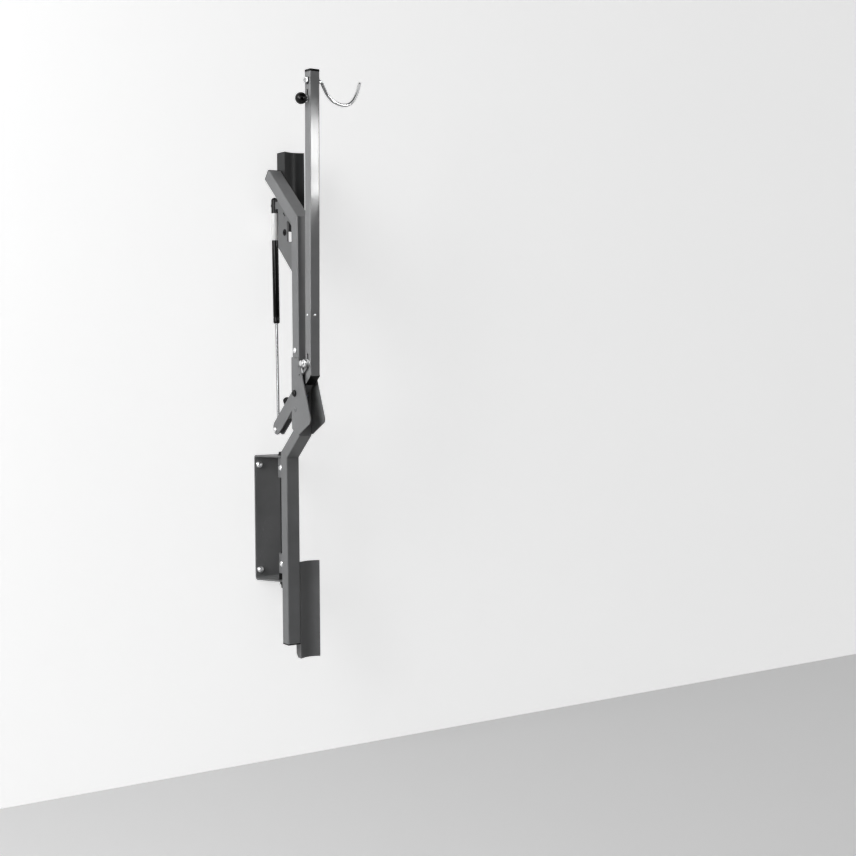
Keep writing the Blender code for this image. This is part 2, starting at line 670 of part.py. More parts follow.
spacer_bolt = round_profile([(0.0058, -cheek_face - 0.0022), (0.0068, -cheek_face - GAP), (0.0040, -cheek_face - GAP),
                             (0.0040, cheek_face + GAP), (0.0068, cheek_face + GAP), (0.0058, cheek_face + 0.0022)])
finish_object("head_spacer_bolt", turned((0.0, spacer.x, spacer.y), (1.0, 0.0, 0.0), spacer_bolt), "black_steel",
              "swivel_axis", True)
seat = cheek_face + GAP
bolt = round_profile([(0.0060, -seat - 0.0062), (0.0085, -seat - 0.0050), (0.0097, -seat - 0.0025),
                      (0.0097, -seat), (PIVOT_BOLT_RADIUS, -seat), (PIVOT_BOLT_RADIUS, seat + 0.0095),
                      (0.0040, seat + 0.0105)])
finish_object("arm_pivot_bolt", turned((0.0, PIVOT.x, PIVOT.y), (1.0, 0.0, 0.0), bolt), "black_steel",
              "swivel_axis", True)
bore = PIVOT_BOLT_RADIUS + GAP
nut = [("circle", 0.0098, seat), ("circle", 0.0098, seat + 0.0012), ("hex", 0.0085, seat + 0.0014),
       ("hex", 0.0085, seat + 0.0085), ("circle", bore, seat + 0.0085), ("circle", bore, seat)]
finish_object("arm_pivot_nut", turned((0.0, PIVOT.x, PIVOT.y), (1.0, 0.0, 0.0), nut, True), "black_steel",
              "swivel_axis", True)

# Latch catch inside the near cheek: a seat and a back stop for the latch pin

pin_spot = on_arm(ARM_OFFSET, LATCH_HEIGHT)
swing = (pin_spot - PIVOT).length
seat_radius = swing - LATCH_PIN_RADIUS - PIN_CLEARANCE
stop_y = pin_spot.x + LATCH_PIN_RADIUS + PIN_CLEARANCE
low_angle = math.degrees(math.atan2(pin_spot.y - PIVOT.y, pin_spot.x - PIVOT.x)) + 5.0
seat_angle = math.degrees(math.acos((stop_y - PIVOT.x) / seat_radius))
seat_arc = arc(PIVOT, seat_radius, seat_angle, low_angle, 6)
catch_back = mast(tube_front, 0.0).x - 0.0008
upper_spot, lower_spot = catch_spots
catch_outline = [Vector((catch_back, upper_spot.y + 0.0080)), Vector((catch_back, lower_spot.y - 0.0070)),
                 Vector((lower_spot.x - 0.0050, lower_spot.y - 0.0080)),
                 Vector((lower_spot.x - 0.0100, lower_spot.y - 0.0030)),
                 Vector((seat_arc[-1].x + 0.0023, seat_arc[-1].y - 0.0065))]
catch_outline += list(reversed(seat_arc))
catch_outline += [Vector((stop_y, seat_arc[0].y + 0.0110)), Vector((stop_y + 0.0070, seat_arc[0].y + 0.0110)),
                  Vector((upper_spot.x - 0.0175, upper_spot.y + 0.0080))]
catch_near = -half + GAP
catch_far = catch_near + CATCH_THICK
catch = finish_object("latch_catch", side_prism(catch_outline, catch_near, catch_far), "grey_coat", "swivel_axis")
for index, spot in enumerate(catch_spots):
    drill(catch, (0.0, spot.x, spot.y), (1.0, 0.0, 0.0), CATCH_SCREW_RADIUS + GAP, -0.04, -0.01)
    screw = round_profile([(0.0020, -seat - 0.0022), (0.0036, -seat - 0.0018), (0.0044, -seat - 0.0006),
                           (0.0044, -seat), (CATCH_SCREW_RADIUS, -seat), (CATCH_SCREW_RADIUS, catch_far - GAP)])
    finish_object("catch_screw_" + ("upper", "lower")[index],
                  turned((0.0, spot.x, spot.y), (1.0, 0.0, 0.0), screw), "grey_coat", "swivel_axis", True)
shade_round(catch)

# Spring gusset under the slanting head, with the rear tab that carries the gas spring

under_start = mast(-MAST_JOG + GAP, 0.0)
mitre_back = upper_path[1] + mitres(upper_path)[1] * (TUBE_DEPTH / 2.0)


def under_slant(y):
    """Height of the slanting head's underside, less a small gap."""
    step = (y - mitre_back.x) / slant_along.x
    return mitre_back.y + slant_along.y * step - 2.0 * GAP


gusset_back = mast(GUSSET_BACK, 0.0).x
gusset_corners = [Vector((under_start.x, mast(0.0, BEND_TOP - GUSSET_FOOT_DROP).y)),
                  Vector((gusset_back, mast(0.0, BEND_TOP - GUSSET_BACK_DROP).y)),
                  Vector((gusset_back, SPRING_TOP.y - TAB_RADIUS))]
gusset_outline = rounded(
    gusset_corners + [Vector((SPRING_TOP.x, SPRING_TOP.y - TAB_RADIUS)),
                      Vector((SPRING_TOP.x, SPRING_TOP.y + TAB_RADIUS)),
                      Vector((gusset_back, SPRING_TOP.y + TAB_RADIUS)),
                      Vector((gusset_back, under_slant(gusset_back))),
                      Vector((under_start.x, under_slant(under_start.x)))],
    [0.002, 0.005, 0.003, 0.0, 0.0, 0.003, 0.002, 0.0], 4)
tab_corner = Vector((SPRING_TOP.x, SPRING_TOP.y - TAB_RADIUS))
front = min(range(len(gusset_outline)), key=lambda index: (gusset_outline[index] - tab_corner).length)
tab_round = arc(SPRING_TOP, TAB_RADIUS, -90.0, 90.0, 12)
gusset_outline = gusset_outline[:front] + tab_round + gusset_outline[front + 2:]
gusset = finish_object("spring_gusset", side_prism(gusset_outline, -GUSSET_HALF, GUSSET_HALF), "grey_coat",
                       "swivel_axis")
hole_front = under_start.x + 0.0147
hole_back = gusset_back - 0.0525
bend_z = mast(0.0, BEND_TOP).y
view_hole = rounded([Vector((hole_front, bend_z - 0.0560)), Vector((hole_back, bend_z - 0.0560)),
                     Vector((hole_back, bend_z + 0.0090)), Vector((hole_front, bend_z - 0.0250))],
                    [0.006, 0.006, 0.005, 0.005], 4)
carve(gusset, side_prism(view_hole, -0.01, 0.01))
plug_spot = Vector((hole_back + 0.0130, bend_z - 0.0280))
drill(gusset, (0.0, plug_spot.x, plug_spot.y), (1.0, 0.0, 0.0), 0.0063, -0.01, 0.01)
slit_spot = Vector((hole_back + 0.0160, bend_z + 0.0220))
carve(gusset, side_prism(slot_outline(slit_spot, slant_along, 0.016, 0.005), -0.01, 0.01))
drill(gusset, (0.0, SPRING_TOP.x, SPRING_TOP.y), (1.0, 0.0, 0.0), SPRING_PIN_RADIUS + GAP, -0.01, 0.01)
shade_round(gusset)
lip = GUSSET_HALF + GAP
grommet = [(0.0040, -lip - 0.0018), (0.0085, -lip - 0.0018), (0.0095, -lip - 0.0010), (0.0095, -lip),
           (0.0060, -lip), (0.0060, lip), (0.0095, lip), (0.0095, lip + 0.0010), (0.0085, lip + 0.0018),
           (0.0040, lip + 0.0018)]
finish_object("gusset_grommet", turned((0.0, plug_spot.x, plug_spot.y), (1.0, 0.0, 0.0), round_profile(grommet)),
              "rubber", "swivel_axis", True)
pin_seat = SHACKLE_HALF + 0.0004
pin = round_profile([(0.0038, -pin_seat - 0.0035), (0.0062, -pin_seat - 0.0031), (0.0062, -pin_seat),
                     (SPRING_PIN_RADIUS, -pin_seat), (SPRING_PIN_RADIUS, pin_seat + 0.0026),
                     (0.0034, pin_seat + 0.0032)])
finish_object("spring_top_pin", turned((0.0, SPRING_TOP.x, SPRING_TOP.y), (1.0, 0.0, 0.0), pin), "zinc",
              "swivel_axis", True)

# Tyre guides: a flange on the mast's far side and a shallow trough for the tyre


def tyre_guide(name, back, flange, foot, height, screws, bevel):
    flange_x = half + GUIDE_SHEET / 2.0
    front_y = back - flange
    trough = []
    steps = 10
    for index in range(steps + 1):
        share = index / steps
        x = flange_x + (GUIDE_REACH - flange_x) * share
        y = front_y + 0.0105 * math.sin(math.pi * share) + 0.0020 * share
        trough.append((x, y - WALL_GAP))
    line = [(flange_x, back - WALL_GAP)] + trough
    low = foot - FOOT_DROP
    guide = finish_object(name, plan_prism(thick_line(line, GUIDE_SHEET), low, low + height), "dark_coat",
                          "swivel_axis")
    if bevel:
        corner = [Vector((back - WALL_GAP + 0.010, low - 0.010)), Vector((back - WALL_GAP + 0.010, low + 0.024)),
                  Vector((front_y - WALL_GAP + 0.008, low - 0.010))]
        carve(guide, side_prism(corner, half - 0.01, half + GUIDE_SHEET + 0.002))
    for spot in screws:
        drill(guide, (0.0, spot.x, spot.y), (1.0, 0.0, 0.0), 0.0033, 0.010, 0.030)
    shade_round(guide)


def guide_screw(name, spot):
    face = half + GUIDE_SHEET + GAP
    screw = round_profile([(0.0025, 0.0135), (0.0030, 0.0140), (0.0030, face), (0.0062, face),
                           (0.0062, face + 0.0008), (0.0048, face + 0.0026), (0.0020, face + 0.0031)])
    finish_object(name, turned((0.0, spot.x, spot.y), (1.0, 0.0, 0.0), screw), "zinc", "swivel_axis", True)


tyre_guide("tyre_guide_lower", LOWER_GUIDE_BACK, GUIDE_FLANGE, LOWER_GUIDE_FOOT, LOWER_GUIDE_HEIGHT, lower_fix, True)
tyre_guide("tyre_guide_upper", UPPER_GUIDE_BACK, UPPER_GUIDE_FLANGE, UPPER_GUIDE_FOOT, UPPER_GUIDE_HEIGHT, upper_fix,
           False)
guide_screw("lower_guide_screw_bottom", lower_fix[0])
guide_screw("lower_guide_screw_top", lower_fix[1])
guide_screw("upper_guide_screw_rear", upper_fix[0])
guide_screw("upper_guide_screw_front", upper_fix[1])

# Arm tube, its cap and the lever that is welded to it

turn = math.tan(LEVER_ANGLE + ARM_LEAN)
cut_height = ARM_OFFSET * turn + LEVER_LOW / math.cos(LEVER_ANGLE + ARM_LEAN)
arm_path = [on_arm(ARM_OFFSET, cut_height), on_arm(ARM_OFFSET, ARM_TOP)]
arm = finish_object("arm_tube", square_tube(arm_path, ARM_WIDTH, ARM_WIDTH, ARM_WALL, 0.003, -turn), "grey_coat",
                    "arm_axis")
for height in (LATCH_HEIGHT, KNOB_HEIGHT):
    low = height - 0.0042
    high = height + RELEASE_TRAVEL + 0.0042
    hole = [on_arm(ARM_OFFSET - 0.0034, low), on_arm(ARM_OFFSET + 0.0034, low),
            on_arm(ARM_OFFSET + 0.0034, high), on_arm(ARM_OFFSET - 0.0034, high)]
    carve(arm, side_prism(rounded(hole, [0.0033] * 4, 5), -0.020, -0.010))
hook_spot = on_arm(ARM_OFFSET, HOOK_HEIGHT)
drill(arm, (0.0, hook_spot.x, hook_spot.y), (1.0, 0.0, 0.0), HOOK_RADIUS + GAP, -0.03, 0.03)
shade_round(arm)
finish_object("arm_top_cap", plug(on_arm(ARM_OFFSET, ARM_TOP), ARM_UP, ARM_WIDTH, ARM_WIDTH, 0.003, 0.0032, 0.012,
                                  ARM_WALL), "black_plastic", "arm_axis", True)

arm_back = ARM_OFFSET - ARM_WIDTH / 2.0 - GAP
joint_angle = LEVER_ANGLE + ARM_LEAN


def lever_start(normal):
    """Where the lever's line at this height meets the arm's back."""
    return -(arm_back + normal * math.sin(joint_angle)) / math.cos(joint_angle)


lever_outline = rounded(
    [on_lever(lever_start(LEVER_LOW), LEVER_LOW), on_lever(LEVER_TAIL, LEVER_LOW), on_lever(LEVER_TAIL, LEVER_HIGH),
     on_lever(lever_start(LEVER_HIGH), LEVER_HIGH)], [0.0, 0.0185, 0.0185, 0.0], 7)
lever = finish_object("lever", side_prism(lever_outline, -LEVER_HALF_WIDTH, LEVER_HALF_WIDTH), "grey_coat", "arm_axis")
inside = LEVER_HALF_WIDTH - LEVER_WALL
low = LEVER_LOW + LEVER_WALL
high = LEVER_HIGH - LEVER_WALL
carve(lever, side_prism([on_lever(-0.15, low), on_lever(0.25, low), on_lever(0.25, high), on_lever(-0.15, high)],
                        -inside, inside))
carve(lever, side_prism([on_lever(FORK_START, -0.05), on_lever(0.25, -0.05), on_lever(0.25, 0.07),
                         on_lever(FORK_START, 0.07)], -inside, inside))
drill(lever, (0.0, PIVOT.x, PIVOT.y), (1.0, 0.0, 0.0), 0.0083, -0.03, 0.03)
drill(lever, (0.0, TAIL_PIN.x, TAIL_PIN.y), (1.0, 0.0, 0.0), TAIL_PIN_RADIUS + GAP, -0.03, 0.03)
shade_round(lever)

flange_end = TUBE_WIDTH / 2.0 - TUBE_WALL - GAP
for name, side in (("pivot_bush_near", -1.0), ("pivot_bush_far", 1.0)):
    profile = [(bore, inside - GAP), (0.0080, inside - GAP), (0.0080, LEVER_HALF_WIDTH + GAP),
               (0.0110, LEVER_HALF_WIDTH + GAP), (0.0110, flange_end), (bore, flange_end)]
    finish_object(name, turned((0.0, PIVOT.x, PIVOT.y), (side, 0.0, 0.0), round_profile(profile), True), "nylon",
                  "arm_axis", True)

start = LEVER_HALF_WIDTH + GAP
bolt = round_profile([(0.0040, -start - 0.0044), (0.0064, -start - 0.0036), (0.0070, -start - 0.0016),
                      (0.0070, -start), (TAIL_PIN_RADIUS, -start), (TAIL_PIN_RADIUS, start + 0.0070),
                      (0.0033, start + 0.0076)])
finish_object("tail_bolt", turned((0.0, TAIL_PIN.x, TAIL_PIN.y), (1.0, 0.0, 0.0), bolt), "zinc", "arm_axis", True)
nut = [("circle", 0.0069, start), ("hex", 0.0065, start + 0.0008), ("hex", 0.0065, start + 0.0055),
       ("circle", TAIL_PIN_RADIUS + GAP, start + 0.0055), ("circle", TAIL_PIN_RADIUS + GAP, start)]
finish_object("tail_nut", turned((0.0, TAIL_PIN.x, TAIL_PIN.y), (1.0, 0.0, 0.0), nut, True), "zinc", "arm_axis", True)

spot = on_lever(BUMPER_S, LEVER_HIGH)
bumper = round_profile([(0.0095, GAP), (BUMPER_RADIUS, 0.0015), (BUMPER_RADIUS, BUMPER_HEIGHT - 0.0080),
                        (0.0102, BUMPER_HEIGHT - 0.0045), (0.0080, BUMPER_HEIGHT - 0.0018),
                        (0.0045, BUMPER_HEIGHT - 0.0004), (0.0015, BUMPER_HEIGHT)])
finish_object("lever_bumper", turned((0.0, spot.x, spot.y), (0.0, LEVER_NORMAL.x, LEVER_NORMAL.y), bumper), "rubber",
              "arm_axis", True)

# Wheel hook with its nut and collar

near_wall = -ARM_WIDTH / 2.0
far_wall = ARM_WIDTH / 2.0
lift = hook_spot.y
hook_line = [(near_wall - 0.010, lift), (0.0, lift), (far_wall + 0.004, lift), (0.0256, lift - 0.0014),
             (0.0302, lift - 0.0048), (0.0340, lift - 0.0122), (0.0388, lift - 0.0212), (0.0466, lift - 0.0338),
             (0.0583, lift - 0.0448), (0.0707, lift - 0.0519), (0.0845, lift - 0.0560), (0.0989, lift - 0.0570),
             (0.1140, lift - 0.0530), (0.1253, lift - 0.0441), (0.1340, lift - 0.0320), (0.1421, lift - 0.0142),
             (0.1480, lift + 0.0050)]
path = [(x, hook_spot.x, z) for x, z in hook_line[:2]]
path += smooth_line([(x, hook_spot.x, z) for x, z in hook_line[2:]])
rings = swept_round(path, HOOK_RADIUS)
tip = Vector(path[-1])
tip_along = (tip - Vector(path[-2])).normalized()
for reach, shrink in ((0.0020, 0.9), (0.0038, 0.65), (0.0048, 0.25)):
    rings.append([tip + tip_along * reach + (point - tip) * shrink for point in rings[len(path) - 1]])
finish_object("wheel_hook", loft(rings), "chrome", "arm_axis", True)
face = ARM_WIDTH / 2.0 + GAP
bore_hook = HOOK_RADIUS + GAP
nut = [("circle", 0.0100, face), ("circle", 0.0100, face + 0.0014), ("hex", 0.0085, face + 0.0016),
       ("hex", 0.0085, face + 0.0080), ("circle", bore_hook, face + 0.0080), ("circle", bore_hook, face)]
finish_object("hook_nut", turned((0.0, hook_spot.x, hook_spot.y), (-1.0, 0.0, 0.0), nut, True), "zinc",
              "arm_axis", True)
collar = round_profile([(0.0095, face), (0.0100, face + 0.0008), (0.0100, face + 0.0030), (0.0090, face + 0.0036),
                        (bore_hook, face + 0.0036), (bore_hook, face)])
finish_object("hook_collar", turned((0.0, hook_spot.x, hook_spot.y), (1.0, 0.0, 0.0), collar, True), "black_steel",
              "arm_axis", True)

# Release: ball knob and stem, pull rod inside the arm, latch pin

knob_spot = on_arm(ARM_OFFSET, KNOB_HEIGHT)
stem = round_profile([(0.0027, -0.0108), (0.0027, -ARM_WIDTH / 2.0 - GAP), (0.0075, -ARM_WIDTH / 2.0 - GAP),
                      (0.0075, -ARM_WIDTH / 2.0 - 0.0020), (0.0045, -ARM_WIDTH / 2.0 - 0.0024),
                      (0.0045, -KNOB_NECK + GAP)])
finish_object("knob_stem", turned((0.0, knob_spot.x, knob_spot.y), (1.0, 0.0, 0.0), stem), "zinc", "release_axis", True)
neck_angle = math.degrees(math.acos((KNOB_CENTER - KNOB_NECK) / KNOB_RADIUS))
ball = [(0.0045, -KNOB_NECK)]
for index in range(10):
    angle = math.radians(neck_angle + (160.0 - neck_angle) * index / 9)
    ball.append((KNOB_RADIUS * math.sin(angle), -KNOB_CENTER + KNOB_RADIUS * math.cos(angle)))
ball.append((KNOB_RADIUS * math.sin(math.radians(174.0)), -KNOB_CENTER + KNOB_RADIUS * math.cos(math.radians(174.0))))
finish_object("release_knob", turned((0.0, knob_spot.x, knob_spot.y), (1.0, 0.0, 0.0), round_profile(ball), False, 28),
              "black_plastic", "release_axis", True)
pin = round_profile([(0.0027, -0.0108), (0.0027, -ARM_WIDTH / 2.0 - GAP), (0.0105, -ARM_WIDTH / 2.0 - GAP),
                     (0.0105, -ARM_WIDTH / 2.0 - 0.0020), (LATCH_PIN_RADIUS, -ARM_WIDTH / 2.0 - 0.0021),
                     (LATCH_PIN_RADIUS, -0.0335), (0.0085, -0.0337), (0.0085, -0.0370), (0.0070, -0.0382)])
finish_object("latch_pin", turned((0.0, pin_spot.x, pin_spot.y), (1.0, 0.0, 0.0), pin), "zinc", "release_axis", True)
strip = [on_arm(ARM_OFFSET - 0.0045, LATCH_HEIGHT - 0.006), on_arm(ARM_OFFSET + 0.0045, LATCH_HEIGHT - 0.006),
         on_arm(ARM_OFFSET + 0.0045, KNOB_HEIGHT + 0.006), on_arm(ARM_OFFSET - 0.0045, KNOB_HEIGHT + 0.006)]
finish_object("pull_rod", side_prism(rounded(strip, [0.004] * 4, 5), -0.0105, -0.0075), "zinc", "release_axis", True)

# Gas spring: cylinder, gland, sleeve and top shackle

down3 = (0.0, SPRING_DOWN.x, SPRING_DOWN.y)
top3 = (0.0, SPRING_TOP.x, SPRING_TOP.y)
shell = round_profile([(0.0070, CYLINDER_START), (CYLINDER_RADIUS, CYLINDER_START + 0.0020),
                       (CYLINDER_RADIUS, CYLINDER_END), (CYLINDER_BORE, CYLINDER_END),
                       (CYLINDER_BORE, CYLINDER_START + 0.0045)])
finish_object("spring_cylinder", turned(top3, down3, shell), "black_steel", "spring_axis", True)
gland = round_profile([(CYLINDER_BORE - GAP, CYLINDER_END - 0.010), (CYLINDER_BORE - GAP, CYLINDER_END + GAP),
                       (CYLINDER_BORE + 0.0008, CYLINDER_END + GAP), (0.0068, CYLINDER_END + 0.0020),
                       (ROD_RADIUS + GAP, CYLINDER_END + 0.0020), (ROD_RADIUS + GAP, CYLINDER_END - 0.010)])
finish_object("spring_gland", turned(top3, down3, gland, True), "black_plastic", "spring_axis", True)
sleeve = round_profile([(CYLINDER_RADIUS + GAP, 0.0390), (CYLINDER_RADIUS + 0.0008, 0.0390),
                        (CYLINDER_RADIUS + 0.0008, 0.0970), (CYLINDER_RADIUS + GAP, 0.0970)])
finish_object("spring_sleeve", turned(top3, down3, sleeve, True), "white_sleeve", "spring_axis", True)
arch = [(p.x, -p.y) for p in arc((0.0, SHACKLE_BOW), SHACKLE_HALF, 180.0, 0.0, 14)]
arch = [(-SHACKLE_HALF, SHACKLE_FOOT)] + arch + [(SHACKLE_HALF, SHACKLE_FOOT)]
fork = SHACKLE_HALF - SHACKLE_STRAP
opening = [(p.x, -p.y) for p in arc((0.0, SHACKLE_BOW - 0.0005), fork, 180.0, 0.0, 10)]
opening = [(-fork, SHACKLE_FOOT - 0.0060)] + opening + [(fork, SHACKLE_FOOT - 0.0060)]
eye_lean = math.degrees(math.asin(SHACKLE_DEPTH / SHACKLE_EYE))
strap = [(p.x, p.y) for p in arc((0.0, 0.0), SHACKLE_EYE, 180.0 + eye_lean, 360.0 - eye_lean, 8)]
strap += [(SHACKLE_FOOT - 0.0060, -SHACKLE_DEPTH), (SHACKLE_FOOT - 0.0025, -0.0075), (SHACKLE_FOOT + 0.0010, -0.0075),
          (SHACKLE_FOOT + 0.0010, 0.0075), (SHACKLE_FOOT - 0.0025, 0.0075), (SHACKLE_FOOT - 0.0060, SHACKLE_DEPTH)]
strap += [(p.x, p.y) for p in arc((0.0, 0.0), SHACKLE_EYE, eye_lean, 180.0 - eye_lean, 8)]
strap += [(-SHACKLE_BOW - 0.0100, SHACKLE_DEPTH), (-SHACKLE_BOW - 0.0100, -SHACKLE_DEPTH)]


def shackle_ring(outline, side):
    points = []
    for x, down in outline:
        spot = on_spring(down, side)
        points.append((x, spot.x, spot.y))
    return points


shackle = finish_object("spring_shackle", loft([shackle_ring(arch, -0.0080), shackle_ring(arch, 0.0080)]),
                        "black_steel", "spring_axis")
combine(shackle, cutter(side_prism([on_spring(down, side) for down, side in strap], -0.02, 0.02)), "INTERSECT")
carve(shackle, loft([shackle_ring(opening, -0.02), shackle_ring(opening, 0.02)]))
drill(shackle, top3, (1.0, 0.0, 0.0), SPRING_PIN_RADIUS + GAP, -0.03, 0.03)
shade_round(shackle)

# Gas spring rod, piston and open-jawed end

jaw_top = SPRING_LENGTH - 0.024
rod = round_profile([(0.0030, ROD_INNER_END), (ROD_RADIUS, ROD_INNER_END + 0.001), (ROD_RADIUS, jaw_top - GAP)])
finish_object("spring_rod", turned(top3, down3, rod), "chrome", "rod_axis", True)
piston = round_profile([(CYLINDER_BORE - GAP, ROD_INNER_END + 0.003), (CYLINDER_BORE - GAP, ROD_INNER_END + 0.012),
                        (ROD_RADIUS + GAP, ROD_INNER_END + 0.012), (ROD_RADIUS + GAP, ROD_INNER_END + 0.003)])
finish_object("spring_piston", turned(top3, down3, piston, True), "nylon", "rod_axis", True)

SEAT = 0.0045
roof = math.radians(30.0)
floor = math.radians(8.0)
jaw = [(0.0060, -0.0240), (-0.0060, -0.0240), (-0.0060, -0.0110)]
jaw += [(p.x, p.y) for p in arc((0.0, 0.0), 0.0092, 218.0, 90.0, 10)]
jaw += [(0.0072, 0.0102), (0.0072, SEAT / math.cos(floor) + 0.0072 * math.tan(floor))]
jaw += [(p.x, p.y) for p in arc((0.0, 0.0), SEAT, 90.0 + math.degrees(floor), 270.0 - math.degrees(roof), 10)]
jaw += [(0.0060, -SEAT / math.cos(roof) - 0.0060 * math.tan(roof))]
jaw_outline = [on_spring(SPRING_LENGTH + down, side) for side, down in jaw]
finish_object("rod_end_jaw", side_prism(jaw_outline, -JAW_HALF, JAW_HALF), "black_steel", "rod_axis", True)
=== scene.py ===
# %% [markdown]
# # Dressing a wall bike hoist
# The hoist is a square steel mast that swings on a wall bracket. A second tube, the arm,
# folds down from its head and carries a wheel hook. A gas spring bears the arm's weight.
# The CAD frame gives every part its place, so this lesson only adds what the eye wants:
# rounded edges, real screw heads, weld beads, threads and finishes.

# %% Load the frame
import json
import math

import bmesh
import bpy
from mathutils import Matrix, Vector


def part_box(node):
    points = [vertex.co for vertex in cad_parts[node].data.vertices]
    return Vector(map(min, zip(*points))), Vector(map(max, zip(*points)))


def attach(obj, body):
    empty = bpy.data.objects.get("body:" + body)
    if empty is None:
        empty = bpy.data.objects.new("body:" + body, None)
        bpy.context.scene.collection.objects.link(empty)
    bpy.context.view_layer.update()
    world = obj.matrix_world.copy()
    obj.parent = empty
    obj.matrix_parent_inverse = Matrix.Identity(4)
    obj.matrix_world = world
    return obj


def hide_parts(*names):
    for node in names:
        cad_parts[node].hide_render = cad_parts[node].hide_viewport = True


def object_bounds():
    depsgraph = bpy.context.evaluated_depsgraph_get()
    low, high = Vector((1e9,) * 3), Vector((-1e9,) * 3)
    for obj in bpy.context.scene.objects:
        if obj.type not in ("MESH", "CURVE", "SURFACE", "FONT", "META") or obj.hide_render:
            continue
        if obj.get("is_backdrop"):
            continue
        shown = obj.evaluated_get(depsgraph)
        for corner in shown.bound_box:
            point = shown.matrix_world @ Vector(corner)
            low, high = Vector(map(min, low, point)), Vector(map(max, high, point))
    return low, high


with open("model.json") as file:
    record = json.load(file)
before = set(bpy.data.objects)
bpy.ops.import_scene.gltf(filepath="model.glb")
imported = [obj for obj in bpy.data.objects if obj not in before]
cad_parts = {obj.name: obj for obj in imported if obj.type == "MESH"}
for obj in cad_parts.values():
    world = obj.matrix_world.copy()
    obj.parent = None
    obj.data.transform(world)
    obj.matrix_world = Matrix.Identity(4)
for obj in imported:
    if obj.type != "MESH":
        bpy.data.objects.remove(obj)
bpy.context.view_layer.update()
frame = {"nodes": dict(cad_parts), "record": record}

members = frame["record"]["behaviour"]["bodies"]
node_body = {node: body for body, nodes in members.items() for node in nodes}

# %% [markdown]
# ## The camera
# The photograph looks at the hoist from the left and a little above the middle of its
# mast. Its focal length and place were solved from the tubes' straight edges. A camera
# in Blender looks down its own -Z, so it is turned up by 90 degrees first, then tipped,
# then turned about the vertical.

# %% Camera
FRAME_PIXELS = 856
FOCAL_PIXELS = 1450.0
SENSOR = 36.0
FAR_LIMIT = 200.0
CAMERA_PLACE = Vector((-1.932, -3.706, 0.474))
CAMERA_TURN = math.radians(-33.76)
CAMERA_TIP = math.radians(-3.07)
CAMERA_ROLL = math.radians(-0.32)


def in_scene(name, data):
    """A new object that shows this data."""
    item = bpy.data.objects.new(name, data)
    bpy.context.scene.collection.objects.link(item)
    return item


lens = bpy.data.cameras.new("photo_lens")
lens.sensor_width = SENSOR
lens.lens = FOCAL_PIXELS * SENSOR / FRAME_PIXELS
lens.clip_end = FAR_LIMIT
camera = in_scene("photo_camera", lens)
turn = Matrix.Rotation(CAMERA_TURN, 4, "Z")
tip = Matrix.Rotation(math.pi / 2.0 + CAMERA_TIP, 4, "X")
roll = Matrix.Rotation(CAMERA_ROLL, 4, "Z")
camera.matrix_world = Matrix.Translation(CAMERA_PLACE) @ turn @ tip @ roll
bpy.context.scene.camera = camera
print("lens in mm:", round(lens.lens, 2))

# %% [markdown]
# ## Placing shader nodes
# Every finish below is a small tree of shader nodes. One helper places a node, sets its
# attributes and fills or links its inputs, which keeps each material short to read. The
# others place the few kinds of node that come up again and again.

# %% Helpers for shader trees
def place(tree, kind, inputs=None, **attributes):
    """Add a shader node; an input that is given a socket is linked, any other is set."""
    node = tree.nodes.new("ShaderNode" + kind)
    for name, value in attributes.items():
        setattr(node, name, value)
    for key, value in (inputs or {}).items():
        if isinstance(value, bpy.types.NodeSocket):
            tree.links.new(value, node.inputs[key])
        else:
            node.inputs[key].default_value = value
    return node


def math_node(tree, operation, first, second, clamp=False):
    node = place(tree, "Math", {0: first, 1: second}, operation=operation, use_clamp=clamp)
    return node.outputs[0]


def vector_node(tree, operation, first, second):
    node = place(tree, "VectorMath", {0: first, 1: second}, operation=operation)
    return node.outputs["Value" if operation == "DOT_PRODUCT" else "Vector"]


def spread(tree, value, low, high, to_low=0.0, to_high=1.0):
    """Stretch the part of a value between low and high over a new range."""
    node = place(tree, "MapRange", {0: value, 1: low, 2: high, 3: to_low, 4: to_high})
    node.interpolation_type = "SMOOTHSTEP"
    return node.outputs[0]


def spot_in_object(tree):
    """Object coordinates, which are in metres here."""
    return place(tree, "TexCoord").outputs["Object"]


def noise(tree, where, scale, detail=2.0, roughness=0.5):
    inputs = {"Vector": where, "Scale": scale, "Detail": detail, "Roughness": roughness}
    return place(tree, "TexNoise", inputs).outputs[0]


def mix_color(tree, factor, first, second):
    """A colour mix; plain colours are given as three numbers."""
    node = place(tree, "Mix", {0: factor}, data_type="RGBA")
    for index, color in ((6, first), (7, second)):
        if isinstance(color, bpy.types.NodeSocket):
            tree.links.new(color, node.inputs[index])
        else:
            node.inputs[index].default_value = (*color, 1.0)
    return node.outputs[2]


# %% Helpers for shader groups
def group_tree(name, inputs, outputs):
    """A new shader group; returns its tree, its input sockets and its output sockets."""
    tree = bpy.data.node_groups.new(name, "ShaderNodeTree")
    for socket, default in inputs.items():
        made = tree.interface.new_socket(name=socket, in_out="INPUT", socket_type="NodeSocketFloat")
        made.default_value = default
    for socket in outputs:
        tree.interface.new_socket(name=socket, in_out="OUTPUT", socket_type="NodeSocketFloat")
    given = tree.nodes.new("NodeGroupInput").outputs
    wanted = tree.nodes.new("NodeGroupOutput").inputs
    return tree, given, wanted


def give_mask(tree, given, wanted, first, second):
    """Put out the product of two masks, times the group's Amount."""
    both = math_node(tree, "MULTIPLY", first, second)
    mask = math_node(tree, "MULTIPLY", both, given["Amount"], True)
    tree.links.new(mask, wanted["Mask"])
    print("group", tree.name)


def use_group(tree, name, inputs):
    """Place a shader group in a material with its own values."""
    node = place(tree, "Group", None, node_tree=bpy.data.node_groups[name])
    for key, value in inputs.items():
        node.inputs[key].default_value = value
    return node.outputs


def group_mask(tree, name, amount):
    return use_group(tree, name, {"Amount": amount})["Mask"]


